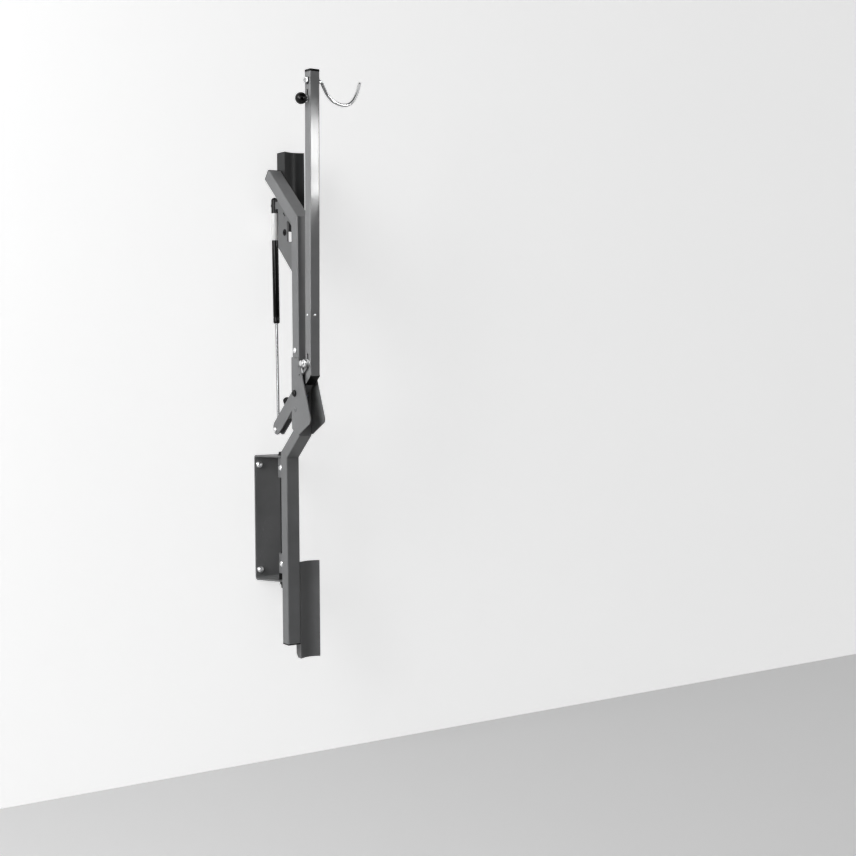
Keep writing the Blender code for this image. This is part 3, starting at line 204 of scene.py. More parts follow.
# %% [markdown]
# ## Effects that several finishes share
# Powder coat has a fine, pebbled skin. Plating has drawn lines. Corners lose their
# colour first, dust lies on what faces up, and handling leaves faint rub marks. Each of
# these is one shader group with named inputs, built once, so that a change to it
# reaches every material. Their scales are repeats to the metre.

# %% Group: pebbled skin
SKIN_SCALES = {"Pebbles": 900.0, "Clouds": 9.0}
tree, given, wanted = group_tree("pebbled_skin", SKIN_SCALES, ["Height", "Tone"])
where = spot_in_object(tree)
tree.links.new(noise(tree, where, given["Pebbles"], 3.0, 0.55), wanted["Height"])
clouds = noise(tree, where, given["Clouds"], 5.0, 0.6)
tree.links.new(spread(tree, clouds, 0.3, 0.7), wanted["Tone"])
print("group", tree.name)

# %% Group: worn edges
CHIP_SCALE = 140.0
tree, given, wanted = group_tree("worn_edges", {"Radius": 0.0009, "Amount": 0.5}, ["Mask"])
rounded_normal = place(tree, "Bevel", {"Radius": given["Radius"]}, samples=4).outputs[0]
true_normal = place(tree, "NewGeometry").outputs["Normal"]
facing = vector_node(tree, "DOT_PRODUCT", rounded_normal, true_normal)
edge = spread(tree, math_node(tree, "SUBTRACT", 1.0, facing), 0.02, 0.22)
chips = noise(tree, spot_in_object(tree), CHIP_SCALE, 4.0, 0.7)
give_mask(tree, given, wanted, edge, spread(tree, chips, 0.46, 0.62))

# %% Group: settled dust
DRIFT_SCALE = 45.0
tree, given, wanted = group_tree("settled_dust", {"Amount": 0.3}, ["Mask"])
normal = place(tree, "TexCoord").outputs["Normal"]
upward = spread(tree, place(tree, "SeparateXYZ", {0: normal}).outputs["Z"], 0.25, 0.95)
drift = noise(tree, spot_in_object(tree), DRIFT_SCALE, 6.0, 0.65)
give_mask(tree, given, wanted, upward, spread(tree, drift, 0.35, 0.65))

# %% Group: drawn lines
LINE_SCALES = {"Along X": 60.0, "Along Y": 1500.0, "Along Z": 1500.0}
tree, given, wanted = group_tree("drawn_lines", LINE_SCALES, ["Height", "Tone"])
scales = {index: given[name] for index, name in enumerate(LINE_SCALES)}
stretch = place(tree, "CombineXYZ", scales).outputs[0]
lines = noise(tree, vector_node(tree, "MULTIPLY", spot_in_object(tree), stretch), 1.0)
tree.links.new(lines, wanted["Height"])
tree.links.new(spread(tree, lines, 0.35, 0.65), wanted["Tone"])
print("group", tree.name)

# %% Group: rub marks
STROKE_SCALES = (420.0, 420.0, 18.0)
PATCH_SCALE = 11.0
tree, given, wanted = group_tree("rub_marks", {"Amount": 0.3}, ["Mask"])
where = spot_in_object(tree)
slanted = place(tree, "VectorRotate", {"Vector": where, "Angle": 0.5, "Axis": (0.4, 0.8, 0.3)})
long_way = vector_node(tree, "MULTIPLY", slanted.outputs[0], STROKE_SCALES)
strokes = spread(tree, noise(tree, long_way, 1.0, 2.0, 0.4), 0.60, 0.68)
patches = spread(tree, noise(tree, where, PATCH_SCALE, 3.0), 0.50, 0.64)
give_mask(tree, given, wanted, strokes, patches)

# %% [markdown]
# ## Finishes
# The mast, arm and lever wear a grey powder coat, which is glossier on the arm. The
# bracket and the lower guide are a little darker. The upper guide is nearly black, which
# is painted shade on a coat like the lower guide's; the splice shares that coat. The
# gusset's coat is a darker copy of the grey coat, painted shade of its recess.
# One function builds them all: a cloudy tone, pale worn edges, dust and rub marks in the
# colour, a little change in roughness, and the pebbled skin as a bump. What is the same
# all over a surface is written straight on the shader's own sockets.

# %% Helpers for finishes
materials = {}


def new_material(name, **sockets):
    """A material with its Principled shader; sockets are set by their names."""
    material = bpy.data.materials.new(name)
    material.use_nodes = True
    shader = material.node_tree.nodes["Principled BSDF"]
    for key, value in sockets.items():
        shader.inputs[key.replace("_", " ").title().replace("Ior", "IOR")].default_value = value
    materials[name] = material
    return material.node_tree, shader


def shade(color, factor):
    return tuple(channel * factor for channel in color)


def cloudy_roughness(tree, tone, low, high, mask, rise):
    """Roughness that follows a cloudy tone and rises under a mask."""
    rough = spread(tree, tone, 0.0, 1.0, low, high)
    return math_node(tree, "ADD", rough, math_node(tree, "MULTIPLY", mask, rise), True)


def feed(tree, shader, base, rough, height, depth):
    """Link a finish's colour, roughness and bump to its shader."""
    tree.links.new(base, shader.inputs["Base Color"])
    tree.links.new(rough, shader.inputs["Roughness"])
    bump = place(tree, "Bump", {"Height": height, "Distance": depth, "Strength": 1.0})
    tree.links.new(bump.outputs[0], shader.inputs["Normal"])


# %% Powder coats
DUST = (0.42, 0.41, 0.40)


def powder_coat(name, color, roughness, edge, dust, rub, pebbles, depth, gloss):
    tree, shader = new_material(name, metallic=0.0, specular_ior_level=gloss)
    skin = use_group(tree, "pebbled_skin", {"Pebbles": pebbles, "Clouds": 7.0})
    dusty = group_mask(tree, "settled_dust", dust)
    base = mix_color(tree, skin["Tone"], shade(color, 0.92), shade(color, 1.08))
    base = mix_color(tree, group_mask(tree, "rub_marks", rub), base, shade(color, 1.6))
    base = mix_color(tree, group_mask(tree, "worn_edges", edge), base, shade(color, 1.7))
    base = mix_color(tree, dusty, base, DUST)
    rough = cloudy_roughness(tree, skin["Tone"], roughness - 0.04, roughness + 0.05, dusty, 0.4)
    feed(tree, shader, base, rough, skin["Height"], depth)
    print("finish", name, "base colour", color)


POWDER_COATS = {
    # name: colour, roughness, worn edges, dust, rub marks, pebbles, bump depth, gloss
    "grey_coat": ((0.215, 0.218, 0.222), 0.36, 0.35, 0.10, 0.15, 1100.0, 0.00006, 0.35),
    "arm_coat": ((0.222, 0.225, 0.229), 0.10, 0.35, 0.08, 0.12, 900.0, 0.0000008, 0.5),
    # A darker copy of the grey coat: painted shade of the gusset's recess behind the mast.
    "gusset_painted_shade_coat": ((0.160, 0.162, 0.165), 0.38, 0.35, 0.10, 0.15, 1100.0, 0.00006, 0.35),
    "bracket_coat": ((0.200, 0.202, 0.205), 0.42, 0.35, 0.12, 0.25, 1100.0, 0.00006, 0.3),
    # On the upper guide this near-black colour is painted shade; the splice shares it.
    "dark_coat": ((0.030, 0.031, 0.032), 0.42, 0.35, 0.08, 0.20, 1100.0, 0.00006, 0.2),
    "black_steel": ((0.012, 0.012, 0.013), 0.34, 0.35, 0.04, 0.20, 1800.0, 0.00003, 0.25),
    "black_gloss": ((0.004, 0.004, 0.004), 0.10, 0.05, 0.02, 0.15, 600.0, 0.000002, 0.14),
}
for name, values in POWDER_COATS.items():
    powder_coat(name, *values)

# %% [markdown]
# Zinc plate and polished chrome are bare metal: full Metallic, a pale colour, and a
# roughness that changes in clouds. Screws are turned or forged, so the zinc also has
# drawn lines. The hook and the spring's rod are smoother. The rod inside the arm is
# plain steel painted near black, which is painted shade of the arm's slot.

# %% Plated and oiled metals
TARNISH = (0.30, 0.295, 0.285)


def bare_metal(name, color, roughness, clouds, line_depth, along, tarnish):
    tree, shader = new_material(name, metallic=1.0)
    tone = use_group(tree, "pebbled_skin", {"Clouds": clouds})["Tone"]
    lines = use_group(tree, "drawn_lines", along)
    base = mix_color(tree, tone, shade(color, 0.88), color)
    base = mix_color(tree, group_mask(tree, "rub_marks", tarnish), base, TARNISH)
    rough = cloudy_roughness(tree, tone, roughness + 0.08, roughness - 0.03, lines["Tone"], 0.05)
    feed(tree, shader, base, rough, lines["Height"], line_depth)
    print("finish", name, "roughness", roughness)


BARE_METALS = {
    # name: colour, roughness, clouds, depth and scale of the lines, tarnish
    "zinc": ((0.88, 0.885, 0.89), 0.26, 60.0, 0.00002, {"Along X": 300.0}, 0.5),
    "chrome": ((0.58, 0.585, 0.59), 0.06, 25.0, 0.0000005, {"Along X": 90.0}, 0.25),
    # Near-black steel: painted shade of the arm's slot, where the rod shows.
    "steel_painted_shade": ((0.030, 0.030, 0.031), 0.50, 40.0, 0.00001, {"Along X": 300.0}, 0.0),
    "rod_chrome": ((0.30, 0.305, 0.31), 0.08, 20.0, 0.0000005,
                   {"Along X": 2200.0, "Along Z": 25.0}, 0.2),
}
for name, values in BARE_METALS.items():
    bare_metal(name, *values)

# %% [markdown]
# Moulded parts: black end caps and swivel bushes, the glossy knob, matt rubber for the
# bumper and the grommet, natural nylon for the arm's bushes, and the plain white film
# round the gas spring.

# %% Plastics and rubber
def moulded(name, color, roughness, pebbles, depth, dust, rub, gloss=0.5, **sockets):
    tree, shader = new_material(name, metallic=0.0, specular_ior_level=gloss, **sockets)
    skin = use_group(tree, "pebbled_skin", {"Pebbles": pebbles, "Clouds": 30.0})
    rubbed = group_mask(tree, "rub_marks", rub)
    scuff = mix_color(tree, skin["Tone"], shade(color, 1.5), shade(color, 1.9))
    base = mix_color(tree, skin["Tone"], shade(color, 0.9), color)
    base = mix_color(tree, rubbed, base, scuff)
    base = mix_color(tree, group_mask(tree, "settled_dust", dust), base, DUST)
    rough = cloudy_roughness(tree, skin["Tone"], roughness - 0.03, roughness + 0.06, rubbed, 0.2)
    feed(tree, shader, base, rough, skin["Height"], depth)
    print("finish", name)


# name, colour, roughness, pebbles, bump depth, dust, rub marks, gloss
moulded("black_plastic", (0.006, 0.006, 0.006), 0.38, 2200.0, 0.00004, 0.02, 0.3, 0.06)
moulded("knob_gloss", (0.003, 0.003, 0.003), 0.05, 400.0, 0.000001, 0.01, 0.1, 0.2)
moulded("rubber", (0.010, 0.010, 0.010), 0.72, 1500.0, 0.00008, 0.06, 0.4, 0.2)
moulded("nylon", (0.74, 0.73, 0.69), 0.42, 900.0, 0.00003, 0.10, 0.0,
        subsurface_weight=0.15, subsurface_scale=0.004)
moulded("white_sleeve", (0.93, 0.93, 0.92), 0.34, 500.0, 0.00001, 0.10, 0.0)

# %% [markdown]
# ## Making pieces
# A piece is a mesh with a finish that rides on a CAD body. Where it stands for a CAD
# node, the node is hidden. Round parts are turned from a profile: each ring has a
# distance along an axis and a reach, which is a radius, or a rule that gives a hexagon
# or a helical thread. A hexagon capped by a shrinking radius has the chamfer of a real
# bolt head.

# %% Piece helpers
BEAD_CREASE = 60.0


def add_piece(name, bm, finish, body, crease=30.0):
    """Turn a closed bmesh into a shaded piece that rides on a body."""
    bmesh.ops.recalc_face_normals(bm, faces=bm.faces)
    mesh = bpy.data.meshes.new(name)
    bm.to_mesh(mesh)
    bm.free()
    mesh.materials.append(materials[finish])
    piece = in_scene(name, mesh)
    mesh.shade_smooth()
    mesh.set_sharp_from_angle(angle=math.radians(crease))
    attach(piece, body)
    return piece


def redo(node, bm, finish, crease=30.0):
    """A finer piece that stands for one CAD node."""
    piece = add_piece(node + "_fine", bm, finish, node_body[node], crease)
    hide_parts(node)
    return piece


def middle(node):
    low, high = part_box(node)
    return (low + high) / 2.0


# %% Rings and turned parts
ACROSS = Vector((1.0, 0.0, 0.0))
TO_WALL = Vector((0.0, 1.0, 0.0))
UPWARD = Vector((0.0, 0.0, 1.0))


def square_to(axis):
    """Two directions square to an axis and to each other."""
    side = axis.cross(UPWARD if abs(axis.z) < 0.9 else ACROSS).normalized()
    return side, side.cross(axis)


def ring_at(bm, center, side, up, steps, reach):
    """One ring of points; the reach is a radius, or a rule that gives one for an angle."""
    ring = []
    for index in range(steps):
        angle = 2.0 * math.pi * index / steps
        radius = reach(angle) if callable(reach) else reach
        out = side * math.cos(angle) + up * math.sin(angle)
        ring.append(bm.verts.new(center + out * radius))
    return ring


def stitch(bm, rings, closed=False):
    """Faces between neighbouring rings; open rings get flat ends, a closed loop none."""
    pairs = list(zip(rings, rings[1:]))
    if closed:
        pairs.append((rings[-1], rings[0]))
    count = len(rings[0])
    for first, second in pairs:
        for index in range(count):
            other = (index + 1) % count
            bm.faces.new((first[index], first[other], second[other], second[index]))
    if not closed:
        bm.faces.new(list(reversed(rings[0])))
        bm.faces.new(rings[-1])


def turned(origin, axis, profile, steps=48, closed=False, bm=None):
    """A turned part; it is added to a bmesh where one is given."""
    bm = bmesh.new() if bm is None else bm
    axis = Vector(axis).normalized()
    side, up = square_to(axis)
    rings = [ring_at(bm, Vector(origin) + axis * distance, side, up, steps, reach)
             for distance, reach in profile]
    stitch(bm, rings, closed)
    return bm


def crosswise(node, profile, finish, steps=48, closed=False, way=1.0):
    """Replace a node by a part turned about X, measured outward from the middle plane."""
    spot = middle(node)
    redo(node, turned((0.0, spot.y, spot.z), ACROSS * way, profile, steps, closed), finish)


# %% [markdown]
# Heads, nuts and thread ends are written once as profiles that start on the seat and run
# outward. A bolt then joins a head on one side, its shank, and a thread end on the other.
# A face at an end runs in to a tiny ring, the core, which closes it.

# %% Reaches
CORE = 0.0003
HALF_HEX = math.pi / 6.0
THREAD_DEPTH = 0.55
RINGS_PER_TURN = 6


def hexed(flat, cap=1.0):
    """Reach of a hexagon with this half width across flats, never more than a cap."""
    def reach(angle):
        folded = (angle + HALF_HEX) % (2.0 * HALF_HEX) - HALF_HEX
        return min(flat / math.cos(folded), cap)
    return reach


def threaded(radius, pitch, distance):
    """Reach of one ring of a helical thread."""
    def reach(angle):
        phase = (distance / pitch + angle / (2.0 * math.pi)) % 1.0
        return radius - THREAD_DEPTH * pitch * abs(2.0 * phase - 1.0)
    return reach


# %% Fastener profiles
def placed(profile, seat, sign=1):
    """Move an outward profile to its seat on an axis."""
    return [(seat + sign * distance, reach) for distance, reach in profile]


def backward(profile):
    """The mirror image of a profile, its outer end first."""
    return [(-distance, reach) for distance, reach in reversed(profile)]


def washer_and(washer, thick, head):
    """A washer with a head or nut on it."""
    edge = 0.0002
    return [(0.0, washer - edge), (edge, washer), (thick - edge, washer),
            (thick, washer - edge)] + placed(head, thick)


def button_head(radius, height, socket):
    """A domed head with a hexagon socket."""
    return [(0.0, 0.96 * radius), (0.1 * height, radius), (0.4 * height, 0.96 * radius),
            (0.72 * height, 0.80 * radius), (0.95 * height, 0.60 * radius),
            (height, 1.22 * socket), (0.98 * height, hexed(socket)),
            (0.42 * height, hexed(socket)), (0.30 * height, CORE)]


def hex_head(flat, height, dish=True):
    """A hexagon head with a chamfered crown and a slight dish."""
    corner = flat / math.cos(HALF_HEX)
    rings = [(0.0, hexed(flat, corner)), (0.72 * height, hexed(flat, corner)),
             (0.84 * height, hexed(flat, flat + 0.60 * (corner - flat))),
             (0.93 * height, hexed(flat, 1.005 * flat)), (height, 0.93 * flat)]
    if dish:
        rings += [(height, 0.80 * flat), (0.90 * height, 0.66 * flat), (0.90 * height, CORE)]
    return rings


def nut_profile(flat, height, bore, washer=None, thick=0.0012, lock=0.0):
    """A nut's closed profile, with a washer under it and a nylon ring's collar over it."""
    corner = flat / math.cos(HALF_HEX)
    rings = [(0.0, hexed(flat, 0.98 * flat)), (0.0005, hexed(flat, corner)),
             (0.86 * height, hexed(flat, corner)), (height, hexed(flat, 0.97 * flat))]
    if lock:
        rings += [(height, 0.90 * flat), (height + lock, 0.84 * flat), (height + lock, bore)]
    else:
        rings += [(height, bore + 0.0005), (height - 0.0005, bore)]
    if washer:
        rings = washer_and(washer, thick, rings)
    return rings + [(0.0, bore)]


def thread_run(start, end, radius, pitch):
    """Rings of a helical thread between two distances, with plain ends."""
    count = max(int(round((end - start) / pitch * RINGS_PER_TURN)), RINGS_PER_TURN)
    rings = [(start, radius - 0.0001)]
    for index in range(count + 1):
        distance = start + 0.0002 + (end - start - 0.0004) * index / count
        rings.append((distance, threaded(radius, pitch, distance)))
    return rings + [(end, radius - THREAD_DEPTH * pitch), (end, CORE)]


# %% [markdown]
# ## Softer edges for the cut and folded parts
# Sheet and tube have no knife edges: cutting, tumbling and the coat itself round them.
# Each flat or bent CAD solid is copied into a new mesh, its triangles are joined back
# into flat faces, and its sharp edges get a small bevel. Weighted normals then keep the
# broad faces flat and put the light's play on the bevels.

# %% Bevelled copies
FLAT_JOIN = math.radians(0.8)
SHARP = math.radians(32.0)
SAME_POINT = 2e-6
SOFT_CREASE = 40.0
FLAT_WEIGHT = 80


def round_off(bm, edges, width, clamp=False):
    bmesh.ops.bevel(bm, geom=edges, offset=width, offset_type="OFFSET", segments=2, profile=0.5,
                    affect="EDGES", clamp_overlap=clamp)


def softened(node, finish, width):
    source = frame["nodes"][node].data
    plain = bpy.data.meshes.new("plain")
    points = [vertex.co[:] for vertex in source.vertices]
    plain.from_pydata(points, [], [face.vertices[:] for face in source.polygons])
    bm = bmesh.new()
    bm.from_mesh(plain)
    bpy.data.meshes.remove(plain)
    bmesh.ops.remove_doubles(bm, verts=bm.verts, dist=SAME_POINT)
    bmesh.ops.dissolve_limit(bm, angle_limit=FLAT_JOIN, verts=bm.verts, edges=bm.edges)
    sharp = [edge for edge in bm.edges if edge.is_manifold and edge.calc_face_angle() > SHARP]
    round_off(bm, sharp, width, True)
    piece = redo(node, bm, finish, SOFT_CREASE)
    even = piece.modifiers.new("even faces", "WEIGHTED_NORMAL")
    even.keep_sharp = True
    even.weight = FLAT_WEIGHT
    return piece


# %% Sheet, tube and block parts
SOFTENED = {
    "wall_bracket": ("bracket_coat", 0.0008), "swivel_lug_upper": ("grey_coat", 0.0008),
    "swivel_lug_lower": ("grey_coat", 0.0008), "lower_mast_tube": ("grey_coat", 0.0004),
    "upper_mast_tube": ("grey_coat", 0.0004), "mast_splice": ("dark_coat", 0.0003),
    "head_cheek_near": ("grey_coat", 0.0005), "head_cheek_far": ("grey_coat", 0.0005),
    # The gusset's darker coat is painted shade of its recess.
    "latch_catch": ("grey_coat", 0.0003), "spring_gusset": ("gusset_painted_shade_coat", 0.0006),
    # The upper guide's near-black coat is painted shade.
    "tyre_guide_lower": ("bracket_coat", 0.0005), "tyre_guide_upper": ("dark_coat", 0.0005),
    "arm_tube": ("arm_coat", 0.0003), "lever": ("grey_coat", 0.0004),
    # The pull rod's near-black steel is painted shade of the arm's slot.
    "rod_end_jaw": ("black_steel", 0.0006), "pull_rod": ("steel_painted_shade", 0.0003),
    "mast_foot_cap": ("black_plastic", 0.0002), "slant_end_cap": ("black_plastic", 0.0002),
}
for node, (finish, width) in SOFTENED.items():
    piece = softened(node, finish, width)
    print(piece.name, len(piece.data.polygons), "faces")

# %% [markdown]
# ## Bracket screws and the swivel
# Four button-head screws with washers hold the bracket. The mast turns on one long bolt
# that passes both folded flanges in black bushes and ends in a lock nut.

# %% Wall screws
PLATE_FACE = 0.0053
SCREW_SHANK = 0.0036
profile = [(0.0006, SCREW_SHANK), (PLATE_FACE, SCREW_SHANK)]
profile += placed(washer_and(0.0100, 0.0012, button_head(0.0090, 0.0060, 0.0030)), PLATE_FACE)
for level in ("upper", "lower"):
    for hand in ("left", "right"):
        node = f"wall_screw_{level}_{hand}"
        spot = middle(node)
        redo(node, turned((spot.x, 0.0, spot.z), -TO_WALL, profile), "zinc")
print("wall screws stand out in mm:", round(1000 * max(distance for distance, reach in profile), 1))

# %% Swivel bolt, lock nut and bushes
COARSE_PITCH = 0.0015
PIN_RADIUS = 0.0060
PIN_THREAD = 0.1795
PIN_HEAD = 0.0070
PIN_WASHER = 0.0015
swivel = middle("swivel_pin")
swivel_foot = (swivel.x, swivel.y, 0.0)
pin_low, pin_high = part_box("swivel_pin")
head_seat = pin_high.z - PIN_HEAD - PIN_WASHER
profile = backward(thread_run(PIN_THREAD, -pin_low.z, PIN_RADIUS, COARSE_PITCH))
profile += [(0.0005 - PIN_THREAD, PIN_RADIUS), (head_seat, PIN_RADIUS)]
profile += placed(washer_and(0.0105, PIN_WASHER, hex_head(0.0090, PIN_HEAD)), head_seat)
redo("swivel_pin", turned(swivel_foot, UPWARD, profile), "black_steel")
nut = nut_profile(0.0090, 0.0066, 0.0063, 0.0096, 0.0010, 0.0024)
nut = placed(nut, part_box("swivel_nut")[1].z, -1)
redo("swivel_nut", turned(swivel_foot, UPWARD, nut, closed=True), "black_steel")
for node, rim in (("swivel_bush_upper", 0.1793), ("swivel_bush_lower", -0.1737)):
    low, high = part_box(node)
    rings = [(low.z, 0.0063), (high.z, 0.0063), (high.z, 0.0111), (high.z - 0.0004, 0.0115),
             (rim + 0.0003, 0.0115), (rim, 0.0112), (rim, 0.0080), (low.z, 0.0080)]
    redo(node, turned(swivel_foot, UPWARD, rings, closed=True), "black_plastic")
print("swivel bolt length in mm:", round(1000 * (pin_high.z - pin_low.z)))

# %% [markdown]
# ## Cross bolts
# Every other bolt runs along X, through a lug, a tube, the lever or the cheeks. A table
# gives each its head, seat and end, and one loop makes them all. The lug bolts have no
# nut of their own in the CAD model, so it is part of the bolt. The spacer has two heads.

# %% Cross bolts and their nuts
LUG_FACE = 0.0113
LEVER_FACE = 0.0103
MAST_FACE = 0.0203
CHEEK_FACE = 0.0236
FINE_PITCH = 0.00125
THREAD_LENGTH = 0.009
LUG_BOLT = ("zinc", 0.0092, 0.0058, 0.0030, LUG_FACE, 0.0040, None)
CROSS_BOLTS = {
    # name: finish, head radius, head height, socket, seat, shank, far end
    "lug_bolt_upper": LUG_BOLT,
    "lug_bolt_lower": LUG_BOLT,
    "splice_bolt": ("zinc", 0.0080, 0.0046, 0.0025, MAST_FACE, 0.0040, 0.0286),
    "arm_pivot_bolt": ("black_steel", 0.0097, 0.0062, 0.0032, CHEEK_FACE, 0.0050, 0.0340),
    "tail_bolt": ("zinc", 0.0070, 0.0044, 0.0023, LEVER_FACE, 0.0040, 0.0179),
    "head_spacer_bolt": ("grey_coat", 0.0068, 0.0022, 0.0022, CHEEK_FACE, 0.0040, None),
}
for node, (finish, radius, height, socket, seat, shank, end) in CROSS_BOLTS.items():
    head = placed(button_head(radius, height, socket), seat)
    profile = backward(head) + [(-seat, shank)]
    if end:
        thread = thread_run(0.0, THREAD_LENGTH, shank, FINE_PITCH)
        profile += [(end - THREAD_LENGTH, shank)] + placed(thread, end - THREAD_LENGTH)
    elif node == "head_spacer_bolt":
        profile += [(seat, shank)] + head
    else:
        nut = washer_and(0.0085, 0.0010, hex_head(0.0065, 0.0050, False))
        thread = thread_run(0.0, 0.0024, 0.0038, FINE_PITCH)
        profile += [(seat, shank)] + placed(nut, seat) + placed(thread, seat + 0.0060)
    crosswise(node, profile, finish)
CROSS_NUTS = {
    # name: finish, seat, half width across flats, height, bore, washer
    "splice_nut": ("zinc", MAST_FACE, 0.0065, 0.0048, 0.0043, 0.0080),
    "arm_pivot_nut": ("black_steel", CHEEK_FACE, 0.0085, 0.0068, 0.0053, 0.0098),
    "tail_nut": ("zinc", LEVER_FACE, 0.0065, 0.0043, 0.0043, 0.0069),
}
for node, (finish, seat, *sizes) in CROSS_NUTS.items():
    crosswise(node, placed(nut_profile(*sizes), seat), finish, closed=True)
print("cross bolts:", len(CROSS_BOLTS), "nuts:", len(CROSS_NUTS))

# %% [markdown]
# The catch and the guides are held by small pan-head screws with a cross recess. The
# recess is a four-lobed reach that narrows as it goes down.

# %% Small cross-recess screws
def crossed(radius, wing):
    """Reach of a cross recess: four lobes with narrow waists."""
    def reach(angle):
        lobe = abs(math.cos(2.0 * angle)) ** 6
        return wing + (radius - wing) * lobe
    return reach


def pan_head(radius, height):
    return [(0.0, 0.97 * radius), (0.15 * height, radius), (0.45 * height, 0.97 * radius),
            (0.80 * height, 0.80 * radius), (height, 0.62 * radius),
            (0.99 * height, crossed(0.52 * radius, 0.16 * radius)),
            (0.35 * height, crossed(0.30 * radius, 0.10 * radius)), (0.25 * height, 0.0002)]


CATCH_SCREW = ("grey_coat", -1.0, CHEEK_FACE, 0.0176, 0.0044, 0.0022, 0.0021)
GUIDE_SCREW = ("zinc", 1.0, 0.0231, 0.0135, 0.0062, 0.0031, 0.0030)
SMALL_SCREWS = {
    # name: finish, side, head seat, shank end, radius, height, shank
    "catch_screw_upper": CATCH_SCREW, "catch_screw_lower": CATCH_SCREW,
    "lower_guide_screw_bottom": GUIDE_SCREW, "lower_guide_screw_top": GUIDE_SCREW,
    "upper_guide_screw_front": GUIDE_SCREW, "upper_guide_screw_rear": GUIDE_SCREW,
}
for node, (finish, way, seat, end, radius, height, shank) in SMALL_SCREWS.items():
    profile = [(end, CORE), (end, 0.8 * shank), (end + 0.0008, shank), (seat, shank)]
    crosswise(node, profile + placed(pan_head(radius, height), seat), finish, 64, way=way)
print("small screws:", len(SMALL_SCREWS))

# %% [markdown]
# ## Arm bushes, grommet and the spring's top pin
# These are plain turned rings and pins. Their profiles are closed where the part has a
# bore. The top pin is a clevis pin: a low head on one side, a spring clip on the other.

# %% Bushes, grommet and clevis pin
for node, way in (("pivot_bush_near", -1.0), ("pivot_bush_far", 1.0)):
    start, stop = sorted(abs(corner.x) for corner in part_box(node))
    rings = [(start, 0.0053), (start, 0.0077), (start + 0.0003, 0.0080), (LEVER_FACE, 0.0080),
             (LEVER_FACE, 0.0107), (LEVER_FACE + 0.0003, 0.0110), (stop - 0.0003, 0.0110),
             (stop, 0.0107), (stop, 0.0053)]
    crosswise(node, rings, "nylon", closed=True, way=way)
rings = [(0.0027, 0.0060), (0.0028, 0.0090), (0.0030, 0.0095), (0.0037, 0.0093), (0.0043, 0.0088),
         (0.0046, 0.0080), (0.0046, 0.0040), (0.0030, 0.0036)]
crosswise("gusset_grommet", backward(rings) + rings, "rubber", 64, True)
rings = [(-0.0096, CORE), (-0.0096, 0.0040), (-0.0093, 0.0046), (-0.0089, 0.0046),
         (-0.0089, 0.0040), (0.0092, 0.0040), (0.0092, 0.0052), (0.0098, 0.0052),
         (0.0098, 0.0040), (0.0108, 0.0040), (0.0112, 0.0036), (0.0112, CORE)]
crosswise("spring_top_pin", rings, "black_steel")
print("clevis pin length in mm:", round(1000 * (rings[-1][0] - rings[0][0]), 1))

# %% [markdown]
# ## Weld beads
# The lugs, the gusset and the lever are welded to their tubes, and the mast's bends are
# mitred joints with a ground seam. A bead is a thin bar along a line, whose radius
# ripples as the weld pool froze. Half of it lies in the metal.

# %% Places on the arm, the lever and the mast
ARM_LEAN = math.radians(0.94)
LEVER_ANGLE = math.radians(40.0)
PIVOT = middle("arm_pivot_bolt").yz
ARM_UP = Vector((-math.sin(ARM_LEAN), math.cos(ARM_LEAN)))
ARM_OUT = Vector((-math.cos(ARM_LEAN), -math.sin(ARM_LEAN)))
ARM_OFFSET = 0.0587
ARM_HALF = 0.0150
LEVER_ALONG = Vector((math.cos(LEVER_ANGLE), -math.sin(LEVER_ANGLE)))
LEVER_NORMAL = Vector((math.sin(LEVER_ANGLE), math.cos(LEVER_ANGLE)))
WALL_GAP = 0.100
FOOT_DROP = 0.349


def on_arm(out, up, x=0.0):
    """A point measured from the pivot, out of the arm's line and up along it."""
    return Vector((x, *(PIVOT + out * ARM_OUT + up * ARM_UP)))


def on_lever(along, normal, x=0.0):
    """A point measured from the pivot, along the lever and square to it."""
    return Vector((x, *(PIVOT + along * LEVER_ALONG + normal * LEVER_NORMAL)))


def on_cut(out, normal, x=0.0):
    """A point at a height above the lever's line and a distance out from the pivot."""
    joint = LEVER_ANGLE + ARM_LEAN
    return on_lever(-(out + normal * math.sin(joint)) / math.cos(joint), normal, x)


def on_mast(y, z, x=0.0):
    """A point measured from the back of the mast's foot."""
    return Vector((x, y - WALL_GAP, z - FOOT_DROP))


print("arm pivot in mm:", [round(1000 * value, 1) for value in PIVOT])

# %% Beads along a line
BEAD_STEP = 0.0005
BEAD_RIPPLE = 0.16
BEAD_END = 0.45
RIPPLE_POINTS = 4.0


def resampled(points, step, loop=False):
    """Points at an even step along a line."""
    line = [Vector(point) for point in points]
    if loop:
        line.append(line[0])
    even = []
    for first, second in zip(line, line[1:]):
        count = max(int(round((second - first).length / step)), 1)
        even += [first.lerp(second, index / count) for index in range(count)]
    if not loop:
        even.append(line[-1])
    return even


def bar(bm, points, radius, ripple, steps=8, loop=False):
    """Sweep a round bar along even points, with a ripple in its radius."""
    rings = []
    last = len(points) - 1
    for index, point in enumerate(points):
        before = points[index - 1] if (loop or index) else point
        after = points[(index + 1) % len(points)] if (loop or index < last) else point
        size = radius * (1.0 + ripple * math.sin(2.0 * math.pi * index / RIPPLE_POINTS))
        if not loop and index in (0, last):
            size *= BEAD_END
        side, up = square_to((after - before).normalized())
        rings.append(ring_at(bm, point, side, up, steps, size))
    stitch(bm, rings, loop)


def weld(name, lines, body, radius):
    """One piece made of one or more beads."""
    bm = bmesh.new()
    for line in lines:
        bar(bm, resampled(line, BEAD_STEP), radius, BEAD_RIPPLE)
    add_piece(name, bm, "grey_coat", body, crease=BEAD_CREASE)


def both_sides(start, end, half):
    """The same line on either side of the middle plane."""
    return [[(x, *start[1:]), (x, *end[1:])] for x in (-half, half)]


